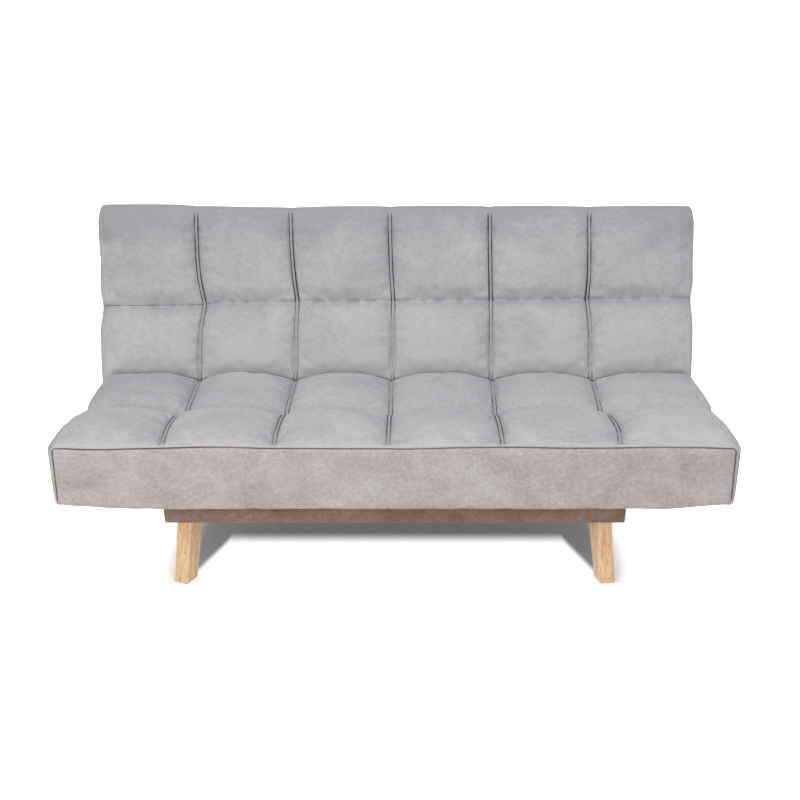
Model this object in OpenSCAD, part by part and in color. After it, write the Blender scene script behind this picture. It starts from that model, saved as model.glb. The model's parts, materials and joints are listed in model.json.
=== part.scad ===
// Click-clack futon sofa bed in millimetres, +Z up, front facing -Y, standing on Z = 0.
// The seat and the backrest are upholstered timber frames. Both turn on one pair of pivot pins,
// held by steel brackets on the ends of a fabric-wrapped base box with four splayed legs.
// The backrest carries a ratchet sector on each side, the seat carries the pawls.

/* [Seat cushion] */
// Width between the two front corner seams
seat_w = 1720; // [1560:10:1960]
// Depth from the front panel to the rear wall
seat_d = 500; // [460:5:560]
// Thickness from the dust cover to the front top seam
seat_t = 158; // [146:2:190]
// How far each side wall stands outside the corner seam
side_proud = 6; // [2:1:12]
// Radius of the piping round the front panel
welt_r = 3; // [2:0.5:5]
// Radius of the front panel's lower corners
panel_corner_r = 22; // [8:1:40]

/* [Backrest cushion] */
// Width of the backrest
back_w = 1720; // [1560:10:1960]
// Length from the pivot axis to the top edge
back_l = 566; // [500:5:660]
// Thickness of the backrest
back_t = 150; // [140:2:170]
// Lean from the vertical in the sofa position, degrees
back_lean = 18.4; // [12:0.2:26]
// Length of one quilted row on the backrest
back_row = 273; // [230:1:320]
// Rounding of the top front edge
top_round_r = 34; // [24:1:44]
// Rounding of the top rear edge
rear_round_r = 20; // [10:1:30]

/* [Quilting] */
// Tufted columns across the sofa
columns = 6; // [4:1:8]
// Tufted rows on the seat and on the backrest
rows = 2; // [2:1:3]
// Rise of a tufted cell above the edge seams
crown = 16; // [6:1:24]
// Depth of the tufted seams below the edge seams
valley = 8; // [3:1:9]
// Thickness of the quilted fabric and wadding over the foam
quilt_t = 16; // [12:1:22]
// Thickness of the fabric walls with their wadding
cover_t = 4; // [3:0.5:5]

/* [Cushion frames] */
// Width of every timber rail
rail_w = 30; // [24:1:36]
// Depth of the timber in the seat
seat_frame_h = 60; // [48:1:66]
// Depth of the timber in the backrest
back_frame_h = 55; // [44:1:60]
// Width of a sprung slat
slat_w = 60; // [40:1:70]
// Thickness of a sprung slat
slat_t = 8; // [6:0.5:10]
// Thickness of the felt pad over the slats
felt_t = 5; // [3:0.5:8]
// Thickness of the dust cloth under the seat and the base
cloth_t = 1.5; // [1:0.25:2]
// Radius of the tufting twine
twine_r = 1.5; // [1:0.25:2]
// Radius of the toggle that anchors a tuft
toggle_r = 8; // [5:0.5:12]

/* [Base box] */
// Width over the wrapped base
base_w = 1210; // [1140:10:1300]
// Depth over the wrapped base
base_d = 584; // [560:2:640]
// Distance of the base behind the front panel
base_set_back = 58; // [40:1:80]
// Height of the base rails
base_rail_h = 71; // [60:1:100]
// Thickness of the base rails
base_rail_t = 25; // [20:1:30]
// Thickness of the fabric wrap
wrap_t = 2; // [1.5:0.25:3]
// Width of the wrap's turn-over on the base rails
wrap_lip = 20; // [14:1:24]
// Height of the rubber bumpers above the wrap
bumper_proud = 3.7; // [2:0.1:8]
// Radius of a rubber bumper
bumper_r = 12; // [8:0.5:12.5]

/* [Legs] */
// Height of the timber leg
leg_h = 179; // [120:5:240]
// Leg section at the top, across and along
leg_top = [47, 53]; // [36:1:54]
// Leg section at the floor, across and along
leg_foot = [42, 47]; // [28:1:48]
// Rounding of the leg's long edges
leg_edge_r = 3; // [1:0.5:6]
// Outward and forward splay of a leg over its height
leg_splay = 20; // [0:1:30]
// Distance of a leg's top from the end of the base
leg_inset_x = 60; // [56:1:90]
// Distance of a leg's top from the front or rear of the base
leg_inset_y = 46; // [44:1:60]
// Turn of the front left leg on its bolt, degrees
left_leg_turn = -27; // [-45:1:45]
// Turn of the other legs on their bolts, degrees
leg_turn = 14; // [-45:1:45]
// Thickness of the nylon glide under a leg
glide_h = 3; // [2:0.5:5]
// Radius of the nylon glide
glide_r = 13; // [8:0.5:14]
// Side of the steel leg plate
leg_plate = 70; // [64:1:76]
// Thickness of the steel leg plate
leg_plate_t = 3; // [2:0.5:5]
// Half the spacing of the leg plate's screws
leg_screw_half = 27; // [26.5:0.5:28]

/* [Mechanism] */
// Thickness of the steel plates
plate_t = 4; // [3:0.25:4.5]
// Gap between neighbouring plates, filled by a washer at the pin
layer_gap = 2; // [1.5:0.1:2.5]
// Radius of the pivot pin
pin_r = 6; // [5:0.25:8]
// Radial running clearance on every pin
pin_clear = 0.05; // [0.02:0.01:0.1]
// Radius of the pivot eye on the base bracket and the seat arm
eye_r = 20; // [16:0.5:22]
// Radius of the ratchet sector on the backrest arm
sector_r = 45; // [38:1:48]
// Radius of a ratchet notch
notch_r = 5; // [3:0.5:6]
// Gap between the pawl's nose and the ratchet sector
pawl_gap = 0.6; // [0.3:0.1:1.5]
// Distance of the pawl's pin in front of the pivot pin
pawl_reach = 84; // [78:1:90]
// Height of the pawl's pin above the pivot pin
pawl_rise = 4; // [0:0.5:8]
// Radius of the pawl's pin
pawl_pin_r = 4; // [3:0.25:5]
// Wire radius of the pawl spring
wire_r = 0.6; // [0.4:0.05:0.7]
// Length of the backrest arm from the pivot pin
back_arm_l = 250; // [200:5:300]
// Length of the seat arm from the pivot pin
seat_arm_l = 330; // [280:5:360]
// Width of the straight part of both arms
arm_w = 40; // [34:1:42]
// Radius of the bolts through the arms and brackets
bolt_r = 4; // [3:0.25:4.5]
// Thickness of a bolt's head and of its nut
bolt_head_t = 4; // [3:0.25:4.5]
// Distance from the end of an arm to its first bolt
bolt_edge = 22; // [16:1:30]
// Spacing of the bolts along the seat arm
seat_bolt_pitch = 70; // [50:2:80]
// Spacing of the bolts along the backrest arm
back_bolt_pitch = 55; // [40:1:60]
// How far the foot of the base bracket reaches in front of the corner block
foot_reach = 30; // [26:1:40]
// Distance of the base bracket's foot from the lower edge of the base rail
foot_edge = 8; // [4:1:12]
// Height left free above a corner block for the base bracket's upper bolts
foot_bolt_room = 35; // [32:1:40]
// Distance of the seat's rear rail in front of the pawl's pin
pawl_room = 40; // [36:1:50]
// Height of the pawl's nose
nose_h = 4; // [3:0.5:5]
// Half the height of the pawl at its pin
pawl_half = 8.5; // [7:0.5:9]
// Length of the pawl's tail
pawl_tail = 22; // [14:1:28]
// Length of the pawl spring's leg
spring_leg = 20; // [12:1:24]

/* [Clearances] */
// Gap between soft pieces and their neighbours
fit_gap = 0.3; // [0.2:0.05:0.5]
// Gap between the seat's rear wall and the backrest's round lower end
heel_gap = 4; // [3:0.5:8]

/* [Hidden] */
$fn = 48;

FABRIC = [0.70, 0.68, 0.69];
TIMBER = [0.78, 0.62, 0.42];
OAK = [0.90, 0.70, 0.47];
STEEL = [0.30, 0.30, 0.32];
ZINC = [0.74, 0.75, 0.76];
FOAM = [0.93, 0.89, 0.72];
FELT = [0.52, 0.50, 0.47];
CLOTH = [0.12, 0.12, 0.13];
PLASTIC = [0.16, 0.16, 0.17];

// heights
leg_top_z = glide_h + leg_h;
base_z0 = leg_top_z + leg_plate_t;
base_z1 = base_z0 + base_rail_h;
base_top_z = base_z1 + wrap_t;
seat_z0 = base_top_z + bumper_proud + fit_gap;
seat_z1 = seat_z0 + seat_t;
seat_frame_z0 = seat_z0 + cloth_t;
seat_frame_z1 = seat_frame_z0 + seat_frame_h;
holder_t = slat_t + 4;
holder_l = 26;
slat_seat = 20;
seat_felt_z0 = seat_frame_z1 + holder_t;
seat_felt_z1 = seat_felt_z0 + felt_t;
seat_foam_z1 = seat_z1 - quilt_t;

// pivot axis
back_r = back_t / 2;
axis_y = seat_d + heel_gap + back_r;
axis_z = seat_z1 - back_r;

// widths
cover_x = seat_w / 2 + side_proud;
seat_in_x = cover_x - cover_t - fit_gap;
back_x = back_w / 2;
back_in_x = back_x - cover_t - fit_gap;
cross_x = 1.5 * seat_w / columns;
back_cross_x = 1.5 * back_w / columns;
base_x = base_w / 2 - wrap_t;
base_y0 = base_set_back + wrap_t;
base_y1 = base_set_back + base_d - wrap_t;

// layers of the mechanism, from the base outwards
bracket_x = base_w / 2;
seat_arm_x = bracket_x + plate_t + layer_gap;
back_arm_x = seat_arm_x + plate_t + layer_gap;
pin_end_x = back_arm_x + plate_t;
pin_head_t = 6;
clip_t = 2;
mech_x0 = bracket_x - pin_head_t - 5;
mech_x1 = pin_end_x + 9;

// seat frame
seat_in_y0 = cover_t + fit_gap;
seat_in_y1 = seat_d - cover_t - fit_gap;
seat_rear_y1 = axis_y - pawl_reach - pawl_room;
seat_rear_y0 = seat_rear_y1 - rail_w;
row_d = (axis_y - back_r * (1 - sin(back_lean)) / cos(back_lean)) / rows;
mech_slot_z1 = axis_z + 30;

// backrest, in its own frame: y is the thickness, z runs from the pivot axis to the top edge
back_frame_t1 = back_r - cover_t - fit_gap;
back_frame_t0 = back_frame_t1 - back_frame_h;
back_felt_t1 = back_frame_t0 - holder_t;
back_felt_t0 = back_felt_t1 - felt_t;
back_foam_t0 = quilt_t - back_r;
back_low_s = sector_r + 15;
back_high_s = back_l - rear_round_r - 2;
mech_notch_s = sector_r + 10;
back_row_s0 = back_l - 10 - rows * back_row;
foam_end_s = -sqrt(pow(back_r - cover_t, 2) - pow(back_foam_t0, 2));
foam_top_s = back_l - top_round_r + 22;

// quilted surface: 0 on a seam, 1 in the middle of a cell
CELL_STEPS = 6;
function cell(f) = sqrt(max(0, sin(180 * (f - floor(f)))));
function ramp(a, b, v) = let (f = max(0, min(1, (v - a) / (b - a)))) f * f * (3 - 2 * f);
function quilt(u, v) = (crown + valley) * cell(u) * cell(v) - valley;

// solid lofted along X through one closed outline of [y, z] points per station
module loft(xs, outlines) {
    n = len(outlines[0]);
    last = len(xs) - 1;
    points = [for (i = [0:last]) for (p = outlines[i]) [xs[i], p[0], p[1]]];
    sides = [
        for (i = [0:last - 1]) for (j = [0:n - 1])
            let (a = i * n + j, b = i * n + (j + 1) % n)
                each [[a, a + n, b], [b, a + n, b + n]]
    ];
    start = [for (j = [0:n - 1]) j];
    end = [for (j = [n - 1:-1:0]) last * n + j];
    polyhedron(points, concat([start], sides, [end]), convexity = 4);
}

function stations(half) = [for (i = [0:columns * CELL_STEPS]) half * (2 * i / (columns * CELL_STEPS) - 1)];

function seat_outline(u) = let (n = rows * CELL_STEPS, y1 = seat_d - 30) concat(
    [[seat_d, seat_z0], [cover_t, seat_z0]],
    [
        for (j = [0:n])
            let (y = cover_t + (y1 - cover_t) * j / n)
                [y, seat_z1 + quilt(u, y / row_d) * ramp(-10, 60, y)]
    ],
    [[seat_d - 12, seat_z1 - 6], [seat_d - 3, seat_z1 - 16], [seat_d, seat_z1 - 32]]
);

function arc(cy, cz, r, a0, a1, n) = [
    for (i = [0:n]) let (a = a0 + (a1 - a0) * i / n) [cy + r * cos(a), cz + r * sin(a)]
];

function back_outline(u) = let (n = rows * CELL_STEPS + 2, s1 = back_l - top_round_r) concat(
    arc(0, 0, back_r, 0, -180, 10),
    [
        for (j = [1:n - 1])
            let (s = s1 * j / n, fade = ramp(60, 150, s) * ramp(s1 + 10, s1 - 60, s))
                [-back_r - fade * quilt(u, (s - back_row_s0) / back_row), s]
    ],
    arc(top_round_r - back_r, s1, top_round_r, 180, 90, 5),
    arc(back_r - rear_round_r, back_l - rear_round_r, rear_round_r, 90, 0, 4)
);

// depth extremes of the whole sofa, which centre it on the origin
back_reach = max([for (p = back_outline(0.5)) axis_y + p[0] * cos(back_lean) + p[1] * sin(back_lean)]);
front_reach = -2 * welt_r;
shift_y = -(back_reach + front_reach) / 2;

module place() {
    translate([0, shift_y, 0]) children();
}

module at_axis() {
    place() translate([0, axis_y, axis_z]) children();
}

module lean_back() {
    at_axis() rotate([-back_lean, 0, 0]) children();
}

// box from its two corners
module block(low, high) {
    translate(low) cube(high - low);
}

module both_sides() {
    children();
    mirror([1, 0, 0]) children();
}

// flat plate in the YZ plane, from x0 outwards
module plate_yz(x0, t) {
    translate([x0, 0, 0]) rotate([90, 0, 90]) linear_extrude(t) children();
}

// round bar along X
module bar_x(x0, x1, r) {
    translate([x0, 0, 0]) rotate([0, 90, 0]) cylinder(h = x1 - x0, r = r);
}

module rounded_rect(w, d, r, steps = 4) {
    polygon([
        for (q = [0:3]) for (i = [0:steps])
            let (a = 90 * q + 90 * i / steps, sx = (q == 0 || q == 3) ? 1 : -1, sy = q < 2 ? 1 : -1)
                [sx * (w / 2 - r) + r * cos(a), sy * (d / 2 - r) + r * sin(a)]
    ]);
}

// ---------------------------------------------------------------- base box

function leg_tops() = [
    for (sx = [-1, 1]) for (sy = [-1, 1])
        [sx * (base_w / 2 - leg_inset_x), base_set_back + base_d / 2 + sy * (base_d / 2 - leg_inset_y)]
];

screw_r = 2;
screw_l = 18;
module leg_screw_spots() {
    for (p = leg_tops()) for (a = [-1, 1]) for (b = [-1, 1])
        translate([p[0] + a * leg_screw_half, p[1] + b * leg_screw_half, leg_top_z]) children();
}

module leg_screw_holes() {
    leg_screw_spots() cylinder(h = leg_plate_t + screw_l + 1, r = screw_r + pin_clear);
}

hanger_r = 4;
hanger_up = 32;
hanger_down = 40;
module hanger_holes() {
    for (p = leg_tops()) translate([p[0], p[1], leg_top_z - hanger_down - 1])
        cylinder(h = hanger_down + hanger_up + 2, r = hanger_r + pin_clear);
}

module long_rail(y0) {
    color(TIMBER) place() difference() {
        block([-base_x, y0, base_z0], [base_x, y0 + base_rail_t, base_z1]);
        leg_screw_holes();
    }
}

module base_front_rail() {
    long_rail(base_y0);
}

module base_rear_rail() {
    long_rail(base_y1 - base_rail_t);
}

block_w = leg_inset_x + leg_plate / 2 - base_rail_t;
block_d = leg_inset_y + leg_plate / 2 - base_rail_t;
block_h = base_rail_h - foot_bolt_room;

// foot of the base bracket on the end rail, measured from the pivot pin
foot_y1 = base_y1 - base_rail_t - axis_y;
foot_y0 = foot_y1 - block_d - foot_reach;
foot_z0 = base_z0 + foot_edge - axis_z;
foot_z1 = base_z1 - foot_edge / 2 - axis_z;
foot_bolt_in = foot_edge + 2 * bolt_r;
bracket_bolts = [
    [foot_y0 + foot_bolt_in, foot_z0 + foot_bolt_in],
    [foot_y0 + foot_bolt_in, foot_z1 - foot_bolt_in],
    [foot_y1 - foot_bolt_in, foot_z1 - foot_bolt_in]
];
module bracket_bolt_spots() {
    translate([0, axis_y, axis_z]) for (p = bracket_bolts) translate([0, p[0], p[1]]) children();
}

module end_rail() {
    color(TIMBER) place() difference() {
        block([base_x - base_rail_t, base_y0 + base_rail_t, base_z0],
              [base_x, base_y1 - base_rail_t, base_z1]);
        bracket_bolt_spots() bar_x(0, base_w, bolt_r + pin_clear);
    }
}

module base_right_rail() {
    end_rail();
}

module base_left_rail() {
    mirror([1, 0, 0]) end_rail();
}

module base_cross_rails() {
    color(TIMBER) place() both_sides()
        block([cross_x - base_rail_t / 2, base_y0 + base_rail_t, base_z0],
              [cross_x + base_rail_t / 2, base_y1 - base_rail_t, base_z1]);
}

module base_corner_blocks() {
    color(TIMBER) place() difference() {
        for (m = [0, 1]) for (k = [0, 1]) mirror([m, 0, 0])
            translate([base_x - base_rail_t - block_w,
                       k == 0 ? base_y0 + base_rail_t : base_y1 - base_rail_t - block_d, base_z0])
                cube([block_w, block_d, block_h]);
        leg_screw_holes();
        hanger_holes();
    }
}

module base_wrap() {
    color(FABRIC) place() difference() {
        block([-base_w / 2, base_set_back, base_z0 - wrap_t],
              [base_w / 2, base_set_back + base_d, base_top_z]);
        block([-base_x, base_y0, base_z0 - wrap_t - 1], [base_x, base_y1, base_z1]);
        block([wrap_lip - base_x, base_y0 + wrap_lip, base_z1 - 1],
              [base_x - wrap_lip, base_y1 - wrap_lip, base_top_z + 1]);
        bracket_bolt_spots() bar_x(-base_w, base_w, bolt_r + pin_clear);
    }
}

module base_dust_cover() {
    color(CLOTH) place() difference() {
        block([fit_gap - base_x, base_y0 + fit_gap, base_z0 - cloth_t],
              [base_x - fit_gap, base_y1 - fit_gap, base_z0]);
        for (p = leg_tops()) translate([p[0], p[1], base_z0])
            cube([leg_plate + 1, leg_plate + 1, 10], center = true);
    }
}

bumper_ys = [base_y0 + base_rail_t + bumper_r + 4, seat_rear_y0 - 20];
module base_bumpers() {
    color(PLASTIC) place() both_sides() for (y = bumper_ys)
        translate([cross_x, y, base_z1]) cylinder(h = seat_z0 - fit_gap - base_z1, r = bumper_r);
}

// ---------------------------------------------------------------- legs

function ring(w, d, r, turn, cx, cy, z, steps = 3) = [
    for (q = [0:3]) for (i = [0:steps])
        let (
            a = 90 * q + 90 * i / steps,
            x = ((q == 0 || q == 3) ? 1 : -1) * (w / 2 - r) + r * cos(a),
            y = (q < 2 ? 1 : -1) * (d / 2 - r) + r * sin(a)
        )
            [cx + x * cos(turn) - y * sin(turn), cy + x * sin(turn) + y * cos(turn), z]
];

module leg_solid(sx, sy, turn) {
    top = [sx * (base_w / 2 - leg_inset_x), base_set_back + base_d / 2 + sy * (base_d / 2 - leg_inset_y)];
    foot = [top[0] + sx * leg_splay, top[1] + sy * leg_splay];
    low = ring(leg_foot[0], leg_foot[1], leg_edge_r, turn, foot[0], foot[1], glide_h);
    high = ring(leg_top[0], leg_top[1], leg_edge_r, turn, top[0], top[1], leg_top_z);
    n = len(low);
    sides = [for (j = [0:n - 1]) let (k = (j + 1) % n) each [[j, n + j, k], [k, n + j, n + k]]];
    polyhedron(
        concat(low, high),
        concat([[for (j = [0:n - 1]) j]], sides, [[for (j = [n - 1:-1:0]) n + j]])
    );
}

module leg(sx, sy, turn) {
    color(OAK) place() difference() {
        leg_solid(sx, sy, turn);
        hanger_holes();
    }
}

module front_left_leg() {
    leg(-1, -1, left_leg_turn);
}

module front_right_leg() {
    leg(1, -1, leg_turn);
}

module rear_left_leg() {
    leg(-1, 1, leg_turn);
}

module rear_right_leg() {
    leg(1, 1, -leg_turn);
}

module leg_plates() {
    color(STEEL) place() difference() {
        for (p = leg_tops()) translate([p[0], p[1], leg_top_z + leg_plate_t / 2])
            cube([leg_plate, leg_plate, leg_plate_t], center = true);
        leg_screw_holes();
        hanger_holes();
    }
}

module leg_hanger_bolts() {
    color(ZINC) place() for (p = leg_tops()) translate([p[0], p[1], leg_top_z - hanger_down])
        cylinder(h = hanger_down + hanger_up, r = hanger_r);
}

module leg_plate_screws() {
    color(ZINC) place() leg_screw_spots() {
        cylinder(h = leg_plate_t + screw_l, r = screw_r);
        translate([0, 0, -2]) cylinder(h = 2, r = 2 * screw_r);
    }
}

module leg_glides() {
    color(PLASTIC) place() for (sx = [-1, 1]) for (sy = [-1, 1])
        translate([sx * (base_w / 2 - leg_inset_x + leg_splay),
                   base_set_back + base_d / 2 + sy * (base_d / 2 - leg_inset_y + leg_splay), 0])
            cylinder(h = glide_h, r = glide_r);
}

// ---------------------------------------------------------------- pivot hardware

module base_bracket() {
    color(STEEL) at_axis() difference() {
        plate_yz(bracket_x, plate_t) {
            circle(r = eye_r);
            polygon([
                [1 - eye_r, -pin_r], [foot_y0, foot_z1], [foot_y0, foot_z0],
                [foot_y1, foot_z0], [foot_y1, foot_z1], [eye_r - 1, -pin_r]
            ]);
        }
        bar_x(0, base_w, pin_r + pin_clear);
        for (p = bracket_bolts) translate([0, p[0], p[1]]) bar_x(0, base_w, bolt_r + pin_clear);
    }
}

module right_base_bracket() {
    base_bracket();
}

module left_base_bracket() {
    mirror([1, 0, 0]) base_bracket();
}

// row of bolt places from the first place towards the last one that has room for a head
function bolt_row(first, room, pitch) = let (last = floor(room / pitch)) [for (k = [0:last]) first + k * pitch];

// bolt with its head at x0 and its nut at x1
bolt_head_r = 1.7 * bolt_r;
module bolt_x(x0, x1) {
    bar_x(x0 - bolt_head_t, x1 + bolt_head_t, bolt_r);
    bar_x(x0 - bolt_head_t, x0, bolt_head_r);
    bar_x(x1, x1 + bolt_head_t, bolt_head_r);
}

module base_bracket_bolts() {
    color(ZINC) place() both_sides() bracket_bolt_spots() bolt_x(base_x - base_rail_t, bracket_x + plate_t);
}

pin_head_r = pin_r + 5;
module pivot_pin() {
    color(ZINC) at_axis() {
        bar_x(bracket_x - pin_head_t, bracket_x, pin_head_r);
        bar_x(bracket_x - pin_head_t, pin_end_x + clip_t + 3, pin_r);
    }
}

module right_pivot_pin() {
    pivot_pin();
}

module left_pivot_pin() {
    mirror([1, 0, 0]) pivot_pin();
}

module washer_x(x0, x1, r, hole_r) {
    difference() {
        bar_x(x0, x1, r);
        bar_x(x0 - 1, x1 + 1, hole_r);
    }
}

module pivot_clips() {
    color(STEEL) at_axis() both_sides()
        washer_x(pin_end_x + fit_gap, pin_end_x + fit_gap + clip_t, pin_r + 4, pin_r + pin_clear);
}

module pivot_washers() {
    color(ZINC) at_axis() both_sides() for (x = [bracket_x + plate_t, seat_arm_x + plate_t])
        washer_x(x + fit_gap / 2, x + layer_gap - fit_gap / 2, pin_head_r, pin_r + pin_clear);
}

// ---------------------------------------------------------------- seat

module seat_front_rail() {
    color(TIMBER) place()
        block([-seat_in_x, seat_in_y0, seat_frame_z0], [seat_in_x, seat_in_y0 + rail_w, seat_frame_z1]);
}

arm_rail_x = seat_arm_x + plate_t;
module seat_rear_rails() {
    color(TIMBER) place() {
        block([fit_gap - seat_arm_x, seat_rear_y0, seat_frame_z0],
              [seat_arm_x - fit_gap, seat_rear_y1, seat_frame_z1]);
        both_sides() block([arm_rail_x + rail_w, seat_rear_y0, seat_frame_z0],
                           [seat_in_x - rail_w, seat_rear_y1, seat_frame_z1]);
    }
}

module seat_end_rail() {
    color(TIMBER) place() block([seat_in_x - rail_w, seat_in_y0 + rail_w, seat_frame_z0],
                                [seat_in_x, seat_rear_y1, seat_frame_z1]);
}

module seat_right_rail() {
    seat_end_rail();
}

module seat_left_rail() {
    mirror([1, 0, 0]) seat_end_rail();
}

seat_arm_z = seat_frame_z0 + seat_frame_h / 2 - axis_z;
seat_bolt_y0 = bolt_edge - seat_arm_l;
seat_bolt_room = seat_rear_y0 - axis_y - bolt_head_r - fit_gap - seat_bolt_y0;
seat_bolt_ys = bolt_row(seat_bolt_y0, seat_bolt_room, seat_bolt_pitch);
module seat_bolt_spots() {
    translate([0, axis_y, axis_z]) for (y = seat_bolt_ys) translate([0, y, seat_arm_z]) children();
}

module seat_cross_rails() {
    color(TIMBER) place() both_sides() {
        block([cross_x - rail_w / 2, seat_in_y0 + rail_w, seat_frame_z0],
              [cross_x + rail_w / 2, seat_rear_y0, seat_frame_z1]);
        difference() {
            block([arm_rail_x, seat_in_y0 + rail_w, seat_frame_z0],
                  [arm_rail_x + rail_w, seat_rear_y1, seat_frame_z1]);
            seat_bolt_spots() bar_x(0, seat_w, bolt_r + pin_clear);
        }
    }
}

function slat_xs(w) = [for (i = [0:2 * columns - 1]) (i - columns + 0.5) * w / (2 * columns)];

// one slat along Y with its bottom at z = 2 above the rails, from y0 to y1
module slat(y0, y1) {
    block([-slat_w / 2, y0, 2], [slat_w / 2, y1, 2 + slat_t]);
}

// plastic cap on a rail, from y0 to y1, with its pocket open towards the slat
module slat_holder(y0, y1, toward) {
    difference() {
        block([-slat_w / 2 - 4, y0, 0], [slat_w / 2 + 4, y1, holder_t]);
        translate([0, toward * (holder_l - slat_seat), 0])
            block([-slat_w / 2 - fit_gap, y0, 2 - fit_gap / 2],
                  [slat_w / 2 + fit_gap, y1, 2 + slat_t + fit_gap / 2]);
    }
}

seat_holder_y0 = seat_in_y0 + 2;
seat_holder_y1 = seat_rear_y1 - 2;
slat_in = holder_l - slat_seat + fit_gap;
module seat_slats() {
    color(OAK) place() for (x = slat_xs(seat_w)) translate([x, 0, seat_frame_z1])
        slat(seat_holder_y0 + slat_in, seat_holder_y1 - slat_in);
}

module seat_slat_holders() {
    color(PLASTIC) place() for (x = slat_xs(seat_w)) translate([x, 0, seat_frame_z1]) {
        slat_holder(seat_holder_y0, seat_holder_y0 + holder_l, 1);
        slat_holder(seat_holder_y1 - holder_l, seat_holder_y1, -1);
    }
}

function tuft_xs(w) = [for (c = [1:columns - 1]) c * w / columns - w / 2];

module seat_tuft_spots() {
    for (x = tuft_xs(seat_w)) for (r = [1:rows - 1]) translate([x, r * row_d, 0]) children();
}

module seat_felt_pad() {
    color(FELT) place() difference() {
        block([-seat_in_x, seat_in_y0, seat_felt_z0], [seat_in_x, seat_rear_y1, seat_felt_z1]);
        seat_tuft_spots() cylinder(h = seat_z1, r = twine_r + fit_gap);
    }
}

// space behind the seat frame for the arms and pawls
module seat_mech_slots() {
    both_sides() block([mech_x0, seat_rear_y1 + 1, seat_z0 - 1], [mech_x1, seat_d + 1, mech_slot_z1]);
}

module seat_foam() {
    color(FOAM) place() difference() {
        block([-seat_in_x, seat_in_y0, seat_felt_z1 + fit_gap],
              [seat_in_x, seat_in_y1, seat_foam_z1 - fit_gap]);
        seat_tuft_spots() cylinder(h = seat_z1, r = twine_r + fit_gap);
        seat_mech_slots();
    }
}

module seat_top_cover() {
    xs = stations(cover_x);
    color(FABRIC) place() difference() {
        loft(xs, [for (x = xs) seat_outline(columns * (x / cover_x + 1) / 2)]);
        block([cover_t - cover_x, -1, seat_z0 - 1], [cover_x - cover_t, seat_d - cover_t, seat_foam_z1]);
        seat_mech_slots();
    }
}

module seat_front_panel() {
    color(FABRIC) place() translate([0, cover_t, 0]) rotate([90, 0, 0]) linear_extrude(cover_t) {
        translate([0, seat_z0 + seat_t / 2]) rounded_rect(seat_w, seat_t, panel_corner_r, 6);
        translate([-seat_w / 2, seat_z1 - seat_t / 2]) square([seat_w, seat_t / 2]);
    }
}

module seat_welt() {
    x = seat_w / 2 - welt_r;
    z = seat_z1 - welt_r;
    color(FABRIC) place() translate([0, -welt_r, 0]) {
        translate([0, 0, z]) bar_x(-x, x, welt_r);
        both_sides() {
            translate([x, 0, z]) sphere(r = welt_r);
            translate([x, 0, seat_z0 + panel_corner_r])
                cylinder(h = z - seat_z0 - panel_corner_r, r = welt_r);
        }
    }
}

module seat_dust_cover() {
    color(CLOTH) place() difference() {
        block([-seat_in_x, seat_in_y0, seat_z0], [seat_in_x, seat_in_y1, seat_frame_z0]);
        seat_mech_slots();
    }
}

// twine through the padding, with a toggle behind the felt; drawn from z0 to z1
module tuft_tie(z0, z1) {
    translate([0, 0, z0 - 3 - fit_gap]) cylinder(h = z1 - z0 + 3, r = twine_r);
    translate([0, 0, z0 - 3 - fit_gap]) cylinder(h = 3, r = toggle_r);
}

module seat_tuft_ties() {
    color(PLASTIC) place() seat_tuft_spots() tuft_tie(seat_felt_z0, seat_foam_z1);
}

module seat_arm() {
    z0 = seat_arm_z - arm_w / 2;
    z1 = seat_arm_z + arm_w / 2;
    color(STEEL) at_axis() difference() {
        plate_yz(seat_arm_x, plate_t) {
            circle(r = eye_r);
            polygon([
                [0, eye_r - 0.5], [-pawl_reach, pawl_rise + 13], [-pawl_reach - pawl_room, z1],
                [-seat_arm_l, z1], [-seat_arm_l, z0], [-pawl_reach - pawl_room, z0], [0, 0.5 - eye_r]
            ]);
        }
        bar_x(0, seat_w, pin_r + pin_clear);
        translate([0, -pawl_reach, pawl_rise]) bar_x(0, seat_w, pawl_pin_r + pin_clear);
        for (y = seat_bolt_ys) translate([0, y, seat_arm_z]) bar_x(0, seat_w, bolt_r + pin_clear);
    }
}

module right_seat_arm() {
    seat_arm();
}

module left_seat_arm() {
    mirror([1, 0, 0]) seat_arm();
}

module seat_arm_bolts() {
    color(ZINC) place() both_sides() seat_bolt_spots() bolt_x(seat_arm_x, arm_rail_x + rail_w);
}

// ---------------------------------------------------------------- pawls

// the nose's far corner clears the sector by pawl_gap even where the nose points straight at the pivot pin
nose_corner_r = norm([pawl_reach, pawl_rise]) - sector_r - pawl_gap;
pawl_tip = sqrt(pow(nose_corner_r, 2) - pow(pawl_rise + nose_h / 2, 2));
module pawl() {
    color(STEEL) at_axis() translate([0, -pawl_reach, pawl_rise]) difference() {
        plate_yz(back_arm_x, plate_t) {
            circle(r = pawl_half + 0.5);
            polygon([
                [0, -pawl_half], [pawl_tip, -pawl_rise - nose_h / 2], [pawl_tip, nose_h / 2 - pawl_rise],
                [0, pawl_half], [-pawl_tail, pawl_half + 4], [-pawl_tail - 2, pawl_half - 2]
            ]);
        }
        bar_x(0, seat_w, pawl_pin_r + pin_clear);
    }
}

module right_pawl() {
    pawl();
}

module left_pawl() {
    mirror([1, 0, 0]) pawl();
}

module pawl_pins() {
    color(ZINC) at_axis() both_sides() translate([0, -pawl_reach, pawl_rise]) {
        bar_x(seat_arm_x - clip_t, seat_arm_x, pawl_pin_r + 3);
        bar_x(seat_arm_x - clip_t, pin_end_x + 2 * fit_gap + clip_t, pawl_pin_r);
        bar_x(pin_end_x + fit_gap, pin_end_x + fit_gap + clip_t, pawl_pin_r + 3);
    }
}

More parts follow.
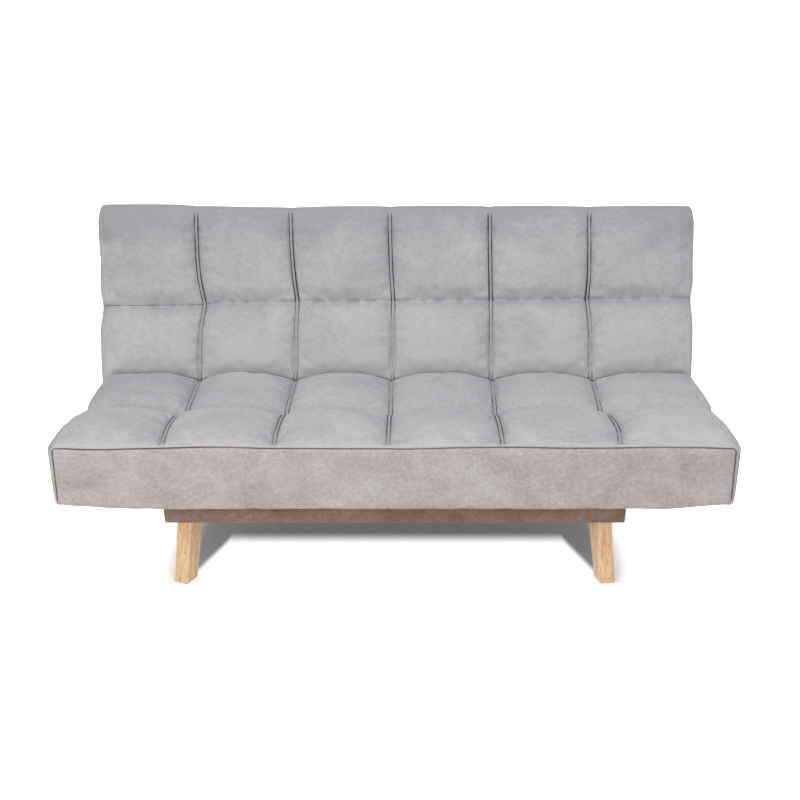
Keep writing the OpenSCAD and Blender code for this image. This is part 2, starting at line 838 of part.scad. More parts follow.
// coil of square wire round the pawl's pin, with a leg that lies along the seat arm
module pawl_springs() {
    coil_r = pawl_pin_r + 1 + 2 * wire_r;
    x0 = seat_arm_x + plate_t + layer_gap / 2 - wire_r;
    color(ZINC) at_axis() both_sides() translate([0, -pawl_reach, pawl_rise]) {
        washer_x(x0, x0 + 2 * wire_r, coil_r, pawl_pin_r + 1);
        block([x0, -spring_leg, coil_r - 2 * wire_r], [x0 + 2 * wire_r, 0, coil_r]);
    }
}

// ---------------------------------------------------------------- backrest

module back_rail(x0, x1, s0, s1) {
    block([x0, back_frame_t0, s0], [x1, back_frame_t1, s1]);
}

module back_top_rail() {
    color(TIMBER) lean_back() back_rail(-back_in_x, back_in_x, back_high_s - rail_w, back_high_s);
}

strut_x = pin_end_x;
module back_bottom_rails() {
    color(TIMBER) lean_back() {
        back_rail(fit_gap - back_arm_x, back_arm_x - fit_gap, back_low_s, back_low_s + rail_w);
        both_sides() back_rail(strut_x + rail_w, back_in_x - rail_w, back_low_s, back_low_s + rail_w);
    }
}

module back_end_rail() {
    color(TIMBER) lean_back() back_rail(back_in_x - rail_w, back_in_x, back_low_s, back_high_s - rail_w);
}

module back_right_rail() {
    back_end_rail();
}

module back_left_rail() {
    mirror([1, 0, 0]) back_end_rail();
}

back_arm_t = (back_frame_t0 + back_frame_t1) / 2;
back_bolt_s1 = back_arm_l - bolt_edge;
back_bolt_room = back_bolt_s1 - back_low_s - rail_w - bolt_head_r - fit_gap;
back_bolt_ss = [for (d = bolt_row(0, back_bolt_room, back_bolt_pitch)) back_bolt_s1 - d];
module back_struts() {
    color(TIMBER) lean_back() both_sides() {
        difference() {
            back_rail(strut_x, strut_x + rail_w, back_low_s, back_high_s - rail_w);
            for (s = back_bolt_ss) translate([0, back_arm_t, s]) bar_x(0, back_w, bolt_r + pin_clear);
        }
        back_rail(back_cross_x - rail_w / 2, back_cross_x + rail_w / 2,
                  back_low_s + rail_w, back_high_s - rail_w);
    }
}

// slats and holders are drawn lying down, then stood against the front of the backrest's rails
module stand_on_rails() {
    translate([0, back_frame_t0, 0]) rotate([90, 0, 0]) children();
}

back_holder_s0 = back_low_s + 2;
back_holder_s1 = back_high_s - 2;
module back_slats() {
    color(OAK) lean_back() stand_on_rails() for (x = slat_xs(back_w)) translate([x, 0, 0])
        slat(back_holder_s0 + slat_in, back_holder_s1 - slat_in);
}

module back_slat_holders() {
    color(PLASTIC) lean_back() stand_on_rails() for (x = slat_xs(back_w)) translate([x, 0, 0]) {
        slat_holder(back_holder_s0, back_holder_s0 + holder_l, 1);
        slat_holder(back_holder_s1 - holder_l, back_holder_s1, -1);
    }
}

module back_tuft_spots() {
    for (x = tuft_xs(back_w)) for (r = [1:rows - 1])
        translate([x, 0, back_row_s0 + r * back_row]) children();
}

module back_tuft_holes() {
    back_tuft_spots() rotate([90, 0, 0]) cylinder(h = 3 * back_t, r = twine_r + fit_gap, center = true);
}

module back_felt_pad() {
    color(FELT) lean_back() difference() {
        block([-back_in_x, back_felt_t0, back_low_s], [back_in_x, back_felt_t1, back_high_s]);
        back_tuft_holes();
    }
}

// space round the pivot for the brackets, arms and pin heads
module back_mech_notches() {
    both_sides() block([mech_x0, -back_t, -back_t], [mech_x1, back_t, mech_notch_s]);
}

module back_foam() {
    color(FOAM) lean_back() difference() {
        block([-back_in_x, back_foam_t0 + fit_gap, foam_end_s + fit_gap],
              [back_in_x, back_felt_t0 - fit_gap, foam_top_s - fit_gap]);
        back_tuft_holes();
        back_mech_notches();
    }
}

module back_front_cover() {
    xs = stations(back_x);
    half = back_x - cover_t;
    color(FABRIC) lean_back() difference() {
        loft(xs, [for (x = xs) back_outline(columns * (x / back_x + 1) / 2)]);
        block([-half, back_foam_t0, foam_end_s], [half, back_felt_t0, foam_top_s]);
        block([-half, back_felt_t0 - 1, 20], [half, back_r + 1, back_high_s + fit_gap]);
        back_mech_notches();
    }
}

module back_rear_cover() {
    color(FABRIC) lean_back() difference() {
        block([-back_in_x, back_r - cover_t, 20 + fit_gap], [back_in_x, back_r, back_high_s]);
        back_mech_notches();
    }
}

module back_tuft_ties() {
    color(PLASTIC) lean_back() back_tuft_spots() rotate([90, 0, 0]) tuft_tie(-back_felt_t1, -back_foam_t0);
}

module back_arm() {
    t0 = back_arm_t - arm_w / 2 + 2;
    t1 = back_arm_t + arm_w / 2 - 2;
    color(STEEL) lean_back() difference() {
        plate_yz(back_arm_x, plate_t) difference() {
            union() {
                circle(r = sector_r);
                polygon([
                    [sector_r - 1, 0], [t1, sector_r + 7], [t1, back_arm_l], [t0, back_arm_l],
                    [t0, sector_r + 7], [-20, sector_r - 6]
                ]);
            }
            for (a = [back_lean, 48, 90])
                translate([-sector_r * cos(a), -sector_r * sin(a)]) circle(r = notch_r);
        }
        bar_x(0, back_w, pin_r + pin_clear);
        for (s = back_bolt_ss) translate([0, back_arm_t, s]) bar_x(0, back_w, bolt_r + pin_clear);
    }
}

module right_back_arm() {
    back_arm();
}

module left_back_arm() {
    mirror([1, 0, 0]) back_arm();
}

module back_arm_bolts() {
    color(ZINC) lean_back() both_sides() for (s = back_bolt_ss)
        translate([0, back_arm_t, s]) bolt_x(back_arm_x, strut_x + rail_w);
}

base_front_rail();
base_rear_rail();
base_left_rail();
base_right_rail();
base_cross_rails();
base_corner_blocks();
base_wrap();
base_dust_cover();
base_bumpers();
front_left_leg();
front_right_leg();
rear_left_leg();
rear_right_leg();
leg_plates();
leg_hanger_bolts();
leg_plate_screws();
leg_glides();
left_base_bracket();
right_base_bracket();
base_bracket_bolts();
left_pivot_pin();
right_pivot_pin();
pivot_clips();
pivot_washers();
seat_front_rail();
seat_rear_rails();
seat_left_rail();
seat_right_rail();
seat_cross_rails();
seat_slats();
seat_slat_holders();
seat_felt_pad();
seat_foam();
seat_top_cover();
seat_front_panel();
seat_welt();
seat_dust_cover();
seat_tuft_ties();
left_seat_arm();
right_seat_arm();
seat_arm_bolts();
back_top_rail();
back_bottom_rails();
back_left_rail();
back_right_rail();
back_struts();
back_slats();
back_slat_holders();
back_felt_pad();
back_foam();
back_front_cover();
back_rear_cover();
back_tuft_ties();
left_back_arm();
right_back_arm();
back_arm_bolts();
left_pawl();
right_pawl();
pawl_pins();
pawl_springs();
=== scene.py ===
"""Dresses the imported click-clack sofa bed: quilted cushions, seam tapes, wrapped base and every finish.

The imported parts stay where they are. The soft parts are modelled anew over them, in metres, in the same
frame: +X to the viewer's right, -Y to the front, +Z up.
"""

import json
import logging
import math
from dataclasses import dataclass, replace
from enum import Enum

import bmesh
import bpy
import numpy as np
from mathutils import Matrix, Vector
from mathutils import noise as smooth_noise


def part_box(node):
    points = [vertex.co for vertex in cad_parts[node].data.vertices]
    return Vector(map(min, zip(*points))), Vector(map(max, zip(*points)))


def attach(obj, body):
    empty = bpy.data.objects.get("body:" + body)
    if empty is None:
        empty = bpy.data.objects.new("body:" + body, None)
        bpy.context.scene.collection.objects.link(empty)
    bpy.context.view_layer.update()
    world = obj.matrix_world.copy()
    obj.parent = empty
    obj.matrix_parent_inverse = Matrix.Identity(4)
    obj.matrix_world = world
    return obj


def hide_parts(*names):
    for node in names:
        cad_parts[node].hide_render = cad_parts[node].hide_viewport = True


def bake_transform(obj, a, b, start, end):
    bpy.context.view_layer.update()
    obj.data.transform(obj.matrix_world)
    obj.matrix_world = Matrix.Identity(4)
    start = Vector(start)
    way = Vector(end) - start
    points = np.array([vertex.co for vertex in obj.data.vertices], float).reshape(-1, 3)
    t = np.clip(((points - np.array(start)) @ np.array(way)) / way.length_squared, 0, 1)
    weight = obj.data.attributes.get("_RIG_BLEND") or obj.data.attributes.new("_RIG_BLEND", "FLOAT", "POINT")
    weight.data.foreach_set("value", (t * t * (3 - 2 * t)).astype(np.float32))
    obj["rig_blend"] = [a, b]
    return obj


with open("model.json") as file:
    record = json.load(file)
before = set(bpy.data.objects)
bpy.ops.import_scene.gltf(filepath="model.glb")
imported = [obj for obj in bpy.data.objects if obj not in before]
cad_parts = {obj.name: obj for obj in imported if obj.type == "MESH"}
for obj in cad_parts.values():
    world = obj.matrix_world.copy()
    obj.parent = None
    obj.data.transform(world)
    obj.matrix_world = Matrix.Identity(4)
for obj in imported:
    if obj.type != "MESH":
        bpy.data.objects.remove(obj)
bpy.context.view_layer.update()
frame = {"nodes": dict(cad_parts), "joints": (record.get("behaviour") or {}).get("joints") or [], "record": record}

LOG = logging.getLogger("sofa_bed")
MM = 0.001
UP = Vector((0, 0, 1))
FORWARD = Vector((0, -1, 0))
# Point attribute on the cushions that holds painted light and shade: paler above 0, darker below.
PAINTED_LIGHT_ATTRIBUTE = "nap"
CLOTH_STEPS = 20
PUFF_PRESSURE = 3.5
SEAM_SHARPNESS = 0.8
SEAM_STEPS = 110
# Shares of a cell: on a column line, at a cushion's end, and on the thin wall beside a column seam.
ON_LINE = 1e-9
AT_END = 1e-6
BESIDE_LINE = 0.008
# How firmly that wall is held while the cells puff: 1 is fully.
HOLD_BESIDE = 0.6
HARD_EDGE = math.radians(50)


class Rides(Enum):
    """The bodies that the new pieces move with."""

    BASE = "base"
    SEAT = "seat"
    BACK = "back"


# ---------------------------------------------------------------- helpers


def linear(code: str) -> tuple[float, float, float, float]:
    """Turns an sRGB hex colour into linear RGBA.

    Args:
        code: six hex digits.

    Returns:
        The colour as Blender's shaders take it.
    """
    values = [int(code[i:i + 2], 16) / 255 for i in (0, 2, 4)]
    red, green, blue = (v / 12.92 if v <= 0.04045 else ((v + 0.055) / 1.055) ** 2.4 for v in values)
    return red, green, blue, 1.0


def per_metre(size_mm: float) -> float:
    """Texture scale at which one feature of a pattern is size_mm wide."""
    return 1000 / size_mm


def empty_tree(owner: bpy.types.Material | bpy.types.World) -> bpy.types.NodeTree:
    """Turns on the nodes of a material or a world and clears them.

    Args:
        owner: the material or the world.

    Returns:
        Its empty node tree.
    """
    owner.use_nodes = True
    owner.node_tree.nodes.clear()
    return owner.node_tree


def add_node(
    tree: bpy.types.NodeTree, kind: str, settings: dict, links: dict | None = None
) -> bpy.types.Node:
    """Adds one node with its settings and links.

    Args:
        tree: the material's or the world's node tree.
        kind: the node's type.
        settings: values by socket name or number, or by the node's own property name; "stops" holds the
            places and hex colours of a ramp, its two ends first.
        links: (node, output) by the input socket that it feeds.

    Returns:
        The new node.
    """
    node = tree.nodes.new(kind)
    for key, value in settings.items():
        if key == "stops":
            elements = node.color_ramp.elements
            for element, (place, code) in zip(elements, value):
                element.position = place
                element.color = linear(code)
            for place, code in value[2:]:
                elements.new(place).color = linear(code)
        elif isinstance(key, int) or key in node.inputs:
            node.inputs[key].default_value = value
        else:
            setattr(node, key, value)
    for key, (source, output) in (links or {}).items():
        tree.links.new(source.outputs[output], node.inputs[key])
    return node


def only(obj: bpy.types.Object) -> bpy.types.Object:
    """Deselects everything and makes one object selected and active.

    Args:
        obj: the object.

    Returns:
        The same object.
    """
    bpy.ops.object.select_all(action="DESELECT")
    obj.select_set(True)
    bpy.context.view_layer.objects.active = obj
    return obj


def mesh_piece(name: str, points: list | np.ndarray, faces: list) -> bpy.types.Object:
    """Makes a mesh object with its normals turned outwards.

    Args:
        name: the piece's name.
        points: its points in metres.
        faces: the numbers of each face's points.

    Returns:
        The object, linked to the scene.
    """
    mesh = bpy.data.meshes.new(name)
    mesh.from_pydata([tuple(map(float, p)) for p in points], [], faces)
    work = bmesh.new()
    work.from_mesh(mesh)
    bmesh.ops.recalc_face_normals(work, faces=work.faces)
    work.to_mesh(mesh)
    work.free()
    piece = bpy.data.objects.new(name, mesh)
    bpy.context.scene.collection.objects.link(piece)
    return piece


def joined(name: str, meshes: list[tuple[list, list]]) -> bpy.types.Object:
    """Makes one piece of several meshes.

    Args:
        name: the piece's name.
        meshes: points and faces of each.

    Returns:
        The piece.
    """
    points, faces = [], []
    for spots, sides in meshes:
        faces += [[len(points) + k for k in face] for face in sides]
        points += spots
    return mesh_piece(name, points, faces)


def tube_faces(rings: int, around: int) -> list[list[int]]:
    """Quads between neighbouring closed rings of points, each ring numbered after the last.

    Args:
        rings: how many rings there are.
        around: how many points each has.

    Returns:
        The faces.
    """
    faces = []
    for start in range(0, (rings - 1) * around, around):
        for j in range(around):
            after = (j + 1) % around
            faces.append([start + j, start + after, start + around + after, start + around + j])
    return faces


def rod_faces(rings: int, around: int) -> list[list[int]]:
    """Faces of a closed rod: its sides and then its two ends."""
    ends = [list(range(start, start + around)) for start in (0, (rings - 1) * around)]
    return tube_faces(rings, around) + ends


def panel(name: str, outer: list, inner: list, across: int) -> bpy.types.Object:
    """Closes two like grids of points, one behind the other, into a thin panel.

    Args:
        name: the piece's name.
        outer: points of the seen side, row by row.
        inner: points of the hidden side in the same order.
        across: spaces between the points of a row.

    Returns:
        The panel.
    """
    wide, count = across + 1, len(outer)
    up = count // wide - 1
    faces = []
    for j in range(up):
        for i in range(across):
            a = j * wide + i
            faces.append([a, a + 1, a + wide + 1, a + wide])
            faces.append([count + a, count + a + wide, count + a + wide + 1, count + a + 1])
    rim = [(i, i + 1) for i in range(across)]
    rim += [(j * wide + across, (j + 1) * wide + across) for j in range(up)]
    rim += [(up * wide + i + 1, up * wide + i) for i in range(across)]
    rim += [((j + 1) * wide, j * wide) for j in range(up)]
    faces += [[a, a + count, b + count, b] for a, b in rim]
    return mesh_piece(name, outer + inner, faces)


def crease_edges(obj: bpy.types.Object, chosen: np.ndarray) -> None:
    """Creases the edges between chosen vertices, so that subdivision keeps them as a sewn line.

    Args:
        obj: the piece.
        chosen: whether each vertex is on the line.
    """
    work = bmesh.new()
    work.from_mesh(obj.data)
    layer = work.edges.layers.float.get("crease_edge") or work.edges.layers.float.new("crease_edge")
    for edge in work.edges:
        if chosen[edge.verts[0].index] and chosen[edge.verts[1].index]:
            edge[layer] = SEAM_SHARPNESS
    work.to_mesh(obj.data)
    work.free()


def puff(obj: bpy.types.Object, hold: np.ndarray, slack: float, cap: float) -> None:
    """Inflates a cushion as cloth over its filling, held at its seams, then caps how far it moved.

    Args:
        obj: the cushion's mesh object.
        hold: how firmly each vertex is held, from 0 to 1.
        slack: how much wider the cloth is cut than the form, as a share.
        cap: the furthest that a vertex may move, in metres.
    """
    before = np.array([v.co for v in obj.data.vertices])
    group = obj.vertex_groups.new(name="held")
    for i, share in enumerate(hold):
        if share > 0:
            group.add([i], float(share), "REPLACE")
    only(obj)
    modifier = obj.modifiers.new("cloth", "CLOTH")
    cloth = modifier.settings
    cloth.quality = 6
    cloth.mass = 0.3
    cloth.vertex_group_mass = "held"
    cloth.tension_stiffness = cloth.compression_stiffness = 12
    cloth.shear_stiffness = 5
    cloth.bending_stiffness = 0.6
    cloth.tension_damping = cloth.compression_damping = cloth.shear_damping = 12
    cloth.use_pressure = True
    cloth.uniform_pressure_force = PUFF_PRESSURE
    cloth.shrink_min = -slack
    cloth.effector_weights.gravity = 0
    modifier.collision_settings.use_collision = False
    modifier.collision_settings.use_self_collision = False
    modifier.point_cache.frame_start = 1
    modifier.point_cache.frame_end = CLOTH_STEPS + 4
    for step in range(1, CLOTH_STEPS + 1):
        bpy.context.scene.frame_set(step)
    bpy.ops.object.modifier_apply(modifier="cloth")
    bpy.context.scene.frame_set(1)
    move = np.array([v.co for v in obj.data.vertices]) - before
    length = np.maximum(np.linalg.norm(move, axis=1, keepdims=True), 1e-9)
    capped = before + move * np.minimum(1.0, cap / length)
    obj.data.vertices.foreach_set("co", capped.astype(np.float32).ravel())
    obj.data.update()
    obj.vertex_groups.clear()


def subdivide(obj: bpy.types.Object) -> None:
    """Subdivides a finished piece once and shades it smooth.

    Args:
        obj: the piece.
    """
    modifier = obj.modifiers.new("subdivision", "SUBSURF")
    modifier.levels = modifier.render_levels = 1
    only(obj)
    bpy.ops.object.modifier_apply(modifier=modifier.name)
    bpy.ops.object.shade_smooth()


def wander(x: float, seed: float, length: float) -> float:
    """Slow waver from -1 to 1 along a seam, the same on every run."""
    return smooth_noise.noise(Vector((x / length, seed, 0.5)))


def clamp(share: float) -> float:
    """Keeps a share between 0 and 1."""
    return min(max(share, 0.0), 1.0)


def fullness(share: float, power: float = 0.5) -> float:
    """Fullness of a pillow across its length: 0 at both ends, 1 in the middle."""
    return math.sin(math.pi * clamp(share)) ** power


def smooth_step(low: float, high: float, value: float) -> float:
    """Rises smoothly from 0 at low to 1 at high."""
    share = clamp((value - low) / (high - low))
    return share * share * (3 - 2 * share)


def settle(obj: bpy.types.Object, finish: bpy.types.Material, rides: Rides) -> bpy.types.Object:
    """Gives a finished soft piece its material and the body that it moves with.

    Args:
        obj: the piece, blended already if it joins two bodies.
        finish: its material.
        rides: the body.

    Returns:
        The same piece.
    """
    obj.data.materials.clear()
    obj.data.materials.append(finish)
    if "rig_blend" not in obj:
        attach(obj, rides.value)
    LOG.info("%s: %d faces on %s", obj.name, len(obj.data.polygons), rides.value)
    return obj


# ---------------------------------------------------------------- finishes


@dataclass(frozen=True)
class BrushedSuede:
    """Polyester microfibre suede, brushed: matt and soft, with blotches where the nap lies over.

    Its fibres are a few hundredths of a millimetre thick, too fine to show: nap_mm draws them in tufts some
    millimetres wide.
    """

    name: str
    shadow: str
    body: str
    light: str
    blotch_mm: float = 130.0
    smear_mm: float = 12.0
    nap_mm: float = 3.2

    def material(self) -> bpy.types.Material:
        """Builds the cloth with its nap blotches, brush smears and fibre bump, shifted paler or darker by the
        stored painted light and shade.

        Returns:
            The material.
        """
        made = bpy.data.materials.new(self.name)
        tree = empty_tree(made)
        place = add_node(tree, "ShaderNodeTexCoord", {})
        drawn = add_node(tree, "ShaderNodeMapping", {"Scale": (0.9, 1.0, 1.1)}, {"Vector": (place, "Object")})
        blotch = add_node(tree, "ShaderNodeTexNoise", {
            "Scale": per_metre(self.blotch_mm), "Detail": 5.0, "Roughness": 0.66, "Distortion": 0.6,
        }, {"Vector": (drawn, "Vector")})
        smear = add_node(tree, "ShaderNodeTexNoise", {
            "Scale": per_metre(self.smear_mm), "Detail": 5.0, "Roughness": 0.72, "Distortion": 0.15,
        }, {"Vector": (drawn, "Vector")})
        nap = add_node(tree, "ShaderNodeTexNoise", {
            "Scale": per_metre(self.nap_mm), "Detail": 3.0, "Roughness": 0.7,
        }, {"Vector": (place, "Object")})
        # Painted light and shade from the cushions' point attribute shifts the colour paler or darker.
        painted_light = add_node(tree, "ShaderNodeAttribute", {"attribute_name": PAINTED_LIGHT_ATTRIBUTE})
        tone = add_node(tree, "ShaderNodeMath", {"operation": "MULTIPLY_ADD", 1: 0.44, 2: -0.045},
                        {0: (blotch, "Fac")})
        for source, share in ((smear, 0.40), (nap, 0.25), (painted_light, 0.15)):
            tone = add_node(tree, "ShaderNodeMath", {"operation": "MULTIPLY_ADD", 1: share},
                            {0: (source, "Fac"), 2: (tone, "Value")})
        ramp = add_node(tree, "ShaderNodeValToRGB", {
            "stops": [(0.35, self.shadow), (0.66, self.light), (0.5, self.body)],
        }, {"Fac": (tone, "Value")})
        fibres = add_node(tree, "ShaderNodeMath", {"operation": "MULTIPLY_ADD", 1: 0.5},
                          {0: (smear, "Fac"), 2: (nap, "Fac")})
        bump = add_node(tree, "ShaderNodeBump", {"Strength": 0.32, "Distance": 0.6 * MM},
                        {"Height": (fibres, "Value")})
        shader = add_node(tree, "ShaderNodeBsdfPrincipled", {
            "Roughness": 0.92, "Specular IOR Level": 0.18, "Sheen Weight": 0.16, "Sheen Roughness": 0.55,
            "Sheen Tint": linear(self.light),
        }, {"Base Color": (ramp, "Color"), "Normal": (bump, "Normal")})
        add_node(tree, "ShaderNodeOutputMaterial", {}, {"Surface": (shader, "BSDF")})
        return made


@dataclass(frozen=True)
class PlanedTimber:
    """Straight-grained timber, sawn or planed: long growth lines with short pores along the grain.

    The lines are drawn about twice as far apart as the real ones and the pores several times as wide, because
    both would be too fine to show.
    """

    name: str
    early: str
    late: str
    pore: str
    line_mm: float
    along: tuple[float, float, float]
    roughness: float
    coat: float = 0.0

    def material(self) -> bpy.types.Material:
        """Builds the grain, stretched along the piece's length.

        Returns:
            The material.
        """
        made = bpy.data.materials.new(self.name)
        tree = empty_tree(made)
        place = add_node(tree, "ShaderNodeTexCoord", {})
        drawn = add_node(tree, "ShaderNodeMapping", {"Scale": self.along}, {"Vector": (place, "Object")})
        growth = add_node(tree, "ShaderNodeTexNoise", {
            "Scale": per_metre(self.line_mm), "Detail": 4.0, "Roughness": 0.6, "Distortion": 0.9,
        }, {"Vector": (drawn, "Vector")})
        pores = add_node(tree, "ShaderNodeTexNoise", {
            "Scale": per_metre(self.line_mm / 4), "Detail": 2.0, "Roughness": 0.8,
        }, {"Vector": (drawn, "Vector")})
        ramp = add_node(tree, "ShaderNodeValToRGB", {"stops": [(0.40, self.late), (0.58, self.early)]},
                        {"Fac": (growth, "Fac")})
        dark = add_node(tree, "ShaderNodeMapRange", {"From Min": 0.58, "From Max": 0.70, "To Max": 0.7},
                        {"Value": (pores, "Fac")})
        pored = add_node(tree, "ShaderNodeMixRGB", {"Color2": linear(self.pore)},
                         {"Fac": (dark, "Result"), "Color1": (ramp, "Color")})
        bump = add_node(tree, "ShaderNodeBump", {"Strength": 0.15, "Distance": 0.2 * MM},
                        {"Height": (growth, "Fac")})
        shader = add_node(tree, "ShaderNodeBsdfPrincipled", {
            "Roughness": self.roughness, "Coat Weight": self.coat, "Coat Roughness": 0.3,
        }, {"Base Color": (pored, "Color"), "Normal": (bump, "Normal")})
        add_node(tree, "ShaderNodeOutputMaterial", {}, {"Surface": (shader, "BSDF")})
        return made


@dataclass(frozen=True)
class SpeckledFinish:
    """An even surface with a fine grain of its own, such as foam cells, felt, moulded skins or plating.

    The real grains are mostly a few tenths of a millimetre or less: each is drawn 0.6 to 1.8 mm wide, so that
    it shows. Patches 28 grains wide stand for wear and handling.
    """

    name: str
    dark: str
    light: str
    grain_mm: float
    bump_mm: float
    roughness: float
    metallic: float = 0.0
    sheen: float = 0.0

    def material(self) -> bpy.types.Material:
        """Builds the grain in colour, gloss and relief.

        Returns:
            The material.
        """
        made = bpy.data.materials.new(self.name)
        tree = empty_tree(made)
        place = add_node(tree, "ShaderNodeTexCoord", {})
        grain = add_node(tree, "ShaderNodeTexNoise", {
            "Scale": per_metre(self.grain_mm), "Detail": 3.0, "Roughness": 0.65,
        }, {"Vector": (place, "Object")})
        handled = add_node(tree, "ShaderNodeTexNoise", {
            "Scale": per_metre(28 * self.grain_mm), "Detail": 2.0,
        }, {"Vector": (place, "Object")})
        mixed = add_node(tree, "ShaderNodeMath", {"operation": "MULTIPLY", 1: 0.5},
                         {0: (grain, "Fac")})
        both = add_node(tree, "ShaderNodeMath", {"operation": "MULTIPLY_ADD", 1: 0.5},
                        {0: (handled, "Fac"), 2: (mixed, "Value")})
        ramp = add_node(tree, "ShaderNodeValToRGB", {"stops": [(0.35, self.dark), (0.65, self.light)]},
                        {"Fac": (both, "Value")})
        gloss = add_node(tree, "ShaderNodeMapRange", {
            "From Min": 0.3, "From Max": 0.7,
            "To Min": self.roughness - 0.06, "To Max": self.roughness + 0.06,
        }, {"Value": (handled, "Fac")})
        bump = add_node(tree, "ShaderNodeBump", {"Strength": 0.4, "Distance": self.bump_mm * MM},
                        {"Height": (grain, "Fac")})
        shader = add_node(tree, "ShaderNodeBsdfPrincipled", {
            "Metallic": self.metallic, "Sheen Weight": self.sheen,
        }, {"Base Color": (ramp, "Color"), "Roughness": (gloss, "Result"), "Normal": (bump, "Normal")})
        add_node(tree, "ShaderNodeOutputMaterial", {}, {"Surface": (shader, "BSDF")})
        return made


# Brushed suede in cool grey: a matt cloth with soft pale and dark patches where the nap lies over; on the cushions
# painted light and shade by place is added.
CUSHION_SUEDE = BrushedSuede("brushed_suede", "A3A2A6", "B5B3B7", "C6C4C7")
# The same suede stretched upright over the front panel, with stronger and smaller patches; painted warmer as warm
# light bounced from the floor.
WARM_LIT_PANEL_SUEDE = BrushedSuede("brushed_suede_panel_warm_lit", "A89B97", "C1B8B7", "D6D2D3", 95.0, 10.0)
# The same suede folded into narrow tapes, painted a little darker as shade, where the fold turns away from the
# light.
SHADED_TAPE_SUEDE = BrushedSuede("brushed_suede_tape_shaded", "9A989C", "ACAAAE", "BCBABD", 40.0, 7.0)
# Brushed suede in brown on the base, in the cushions' shade: a dull, even band with faint mottling.
BASE_SUEDE = BrushedSuede("brushed_suede_base", "836A5B", "9C8171", "B89D8A", 80.0, 12.0)
# Twisted polyester cord in the front seam, coloured dark as painted shade of the gap under the cushion's edge: a
# thin dark matt line.
SEAM_SHADE_CORD = SpeckledFinish("seam_shade_cord", "4A4546", "6A6262", 1.2, 0.3, 0.85)
# Spun polyester sewing thread, drawn tight and coloured near-black as painted shade: sunk lines beside the tapes,
# on the row seams and in the crease.
SEAM_SHADE_THREAD = SpeckledFinish("seam_shade_thread", "2B2A2E", "434145", 1.2, 0.3, 0.85)

# Oak, planed and lacquered: pale honey legs with long darker grain and a soft satin gloss.
OAK = PlanedTimber("lacquered_oak", "FFDDAE", "EDB680", "B8713F", 7.5, (1.0, 1.0, 0.07), 0.42, 0.15)
# Beech, laminated and planed: even tan slats with fine short flecks.
BEECH = PlanedTimber("laminated_beech", "E2C292", "CDA873", "A87F4E", 5.0, (1.0, 0.08, 0.08), 0.45)
# Pine, sawn and left bare: yellow rails with broad growth lines and no gloss.
PINE = PlanedTimber("sawn_pine", "E3C38C", "C99F63", "A97E4A", 9.0, (1.0, 1.0, 1.0), 0.72)
GRAIN_STRETCH = 0.12

NODE_FINISHES = {
    "suede": CUSHION_SUEDE,
    "oak": OAK,
    "beech": BEECH,
    "pine": PINE,
    # Polyurethane foam, cut: pale yellow, dull and open-celled.
    "foam": SpeckledFinish("cut_foam", "E2D6A6", "F0E6BE", 1.4, 0.5, 0.9),
    # Recycled felt, needled: grey-brown and fibrous, with a faint fuzz at its edges.
    "felt": SpeckledFinish("needled_felt", "716C64", "969086", 1.8, 0.6, 0.95, 0.0, 0.3),
    # Polypropylene cloth, spun-bonded: flat black with hardly any sheen.
    "dust_cloth": SpeckledFinish("spun_bonded_cloth", "1A1A1C", "262628", 1.2, 0.3, 0.88),
    # Rubber, moulded: black and dull.
    "rubber": SpeckledFinish("moulded_rubber", "151515", "202020", 0.8, 0.1, 0.75),
    # Nylon, moulded: charcoal with a soft waxy gloss.
    "nylon": SpeckledFinish("moulded_nylon", "202022", "2E2E30", 0.7, 0.08, 0.5),
    # Polypropylene, moulded: black with a low even gloss.
    "black_plastic": SpeckledFinish("moulded_polypropylene", "161618", "232326", 0.8, 0.1, 0.45),
    # Tufting twine, waxed: off-white and matt.
    "twine": SpeckledFinish("waxed_twine", "C2BCAC", "DAD5C8", 0.9, 0.3, 0.7),
    # Steel, powder-coated: satin black with a fine orange-peel.
    "black_steel": SpeckledFinish("powder_coated_steel", "18181A", "252528", 0.6, 0.12, 0.48),
    # Steel, bright zinc-plated: cool silver with a soft cloudy shine.
    "zinc_steel": SpeckledFinish("bright_zinc_plate", "9FA2A6", "C9CCCF", 1.5, 0.03, 0.34, 1.0),
}


# ---------------------------------------------------------------- quilting


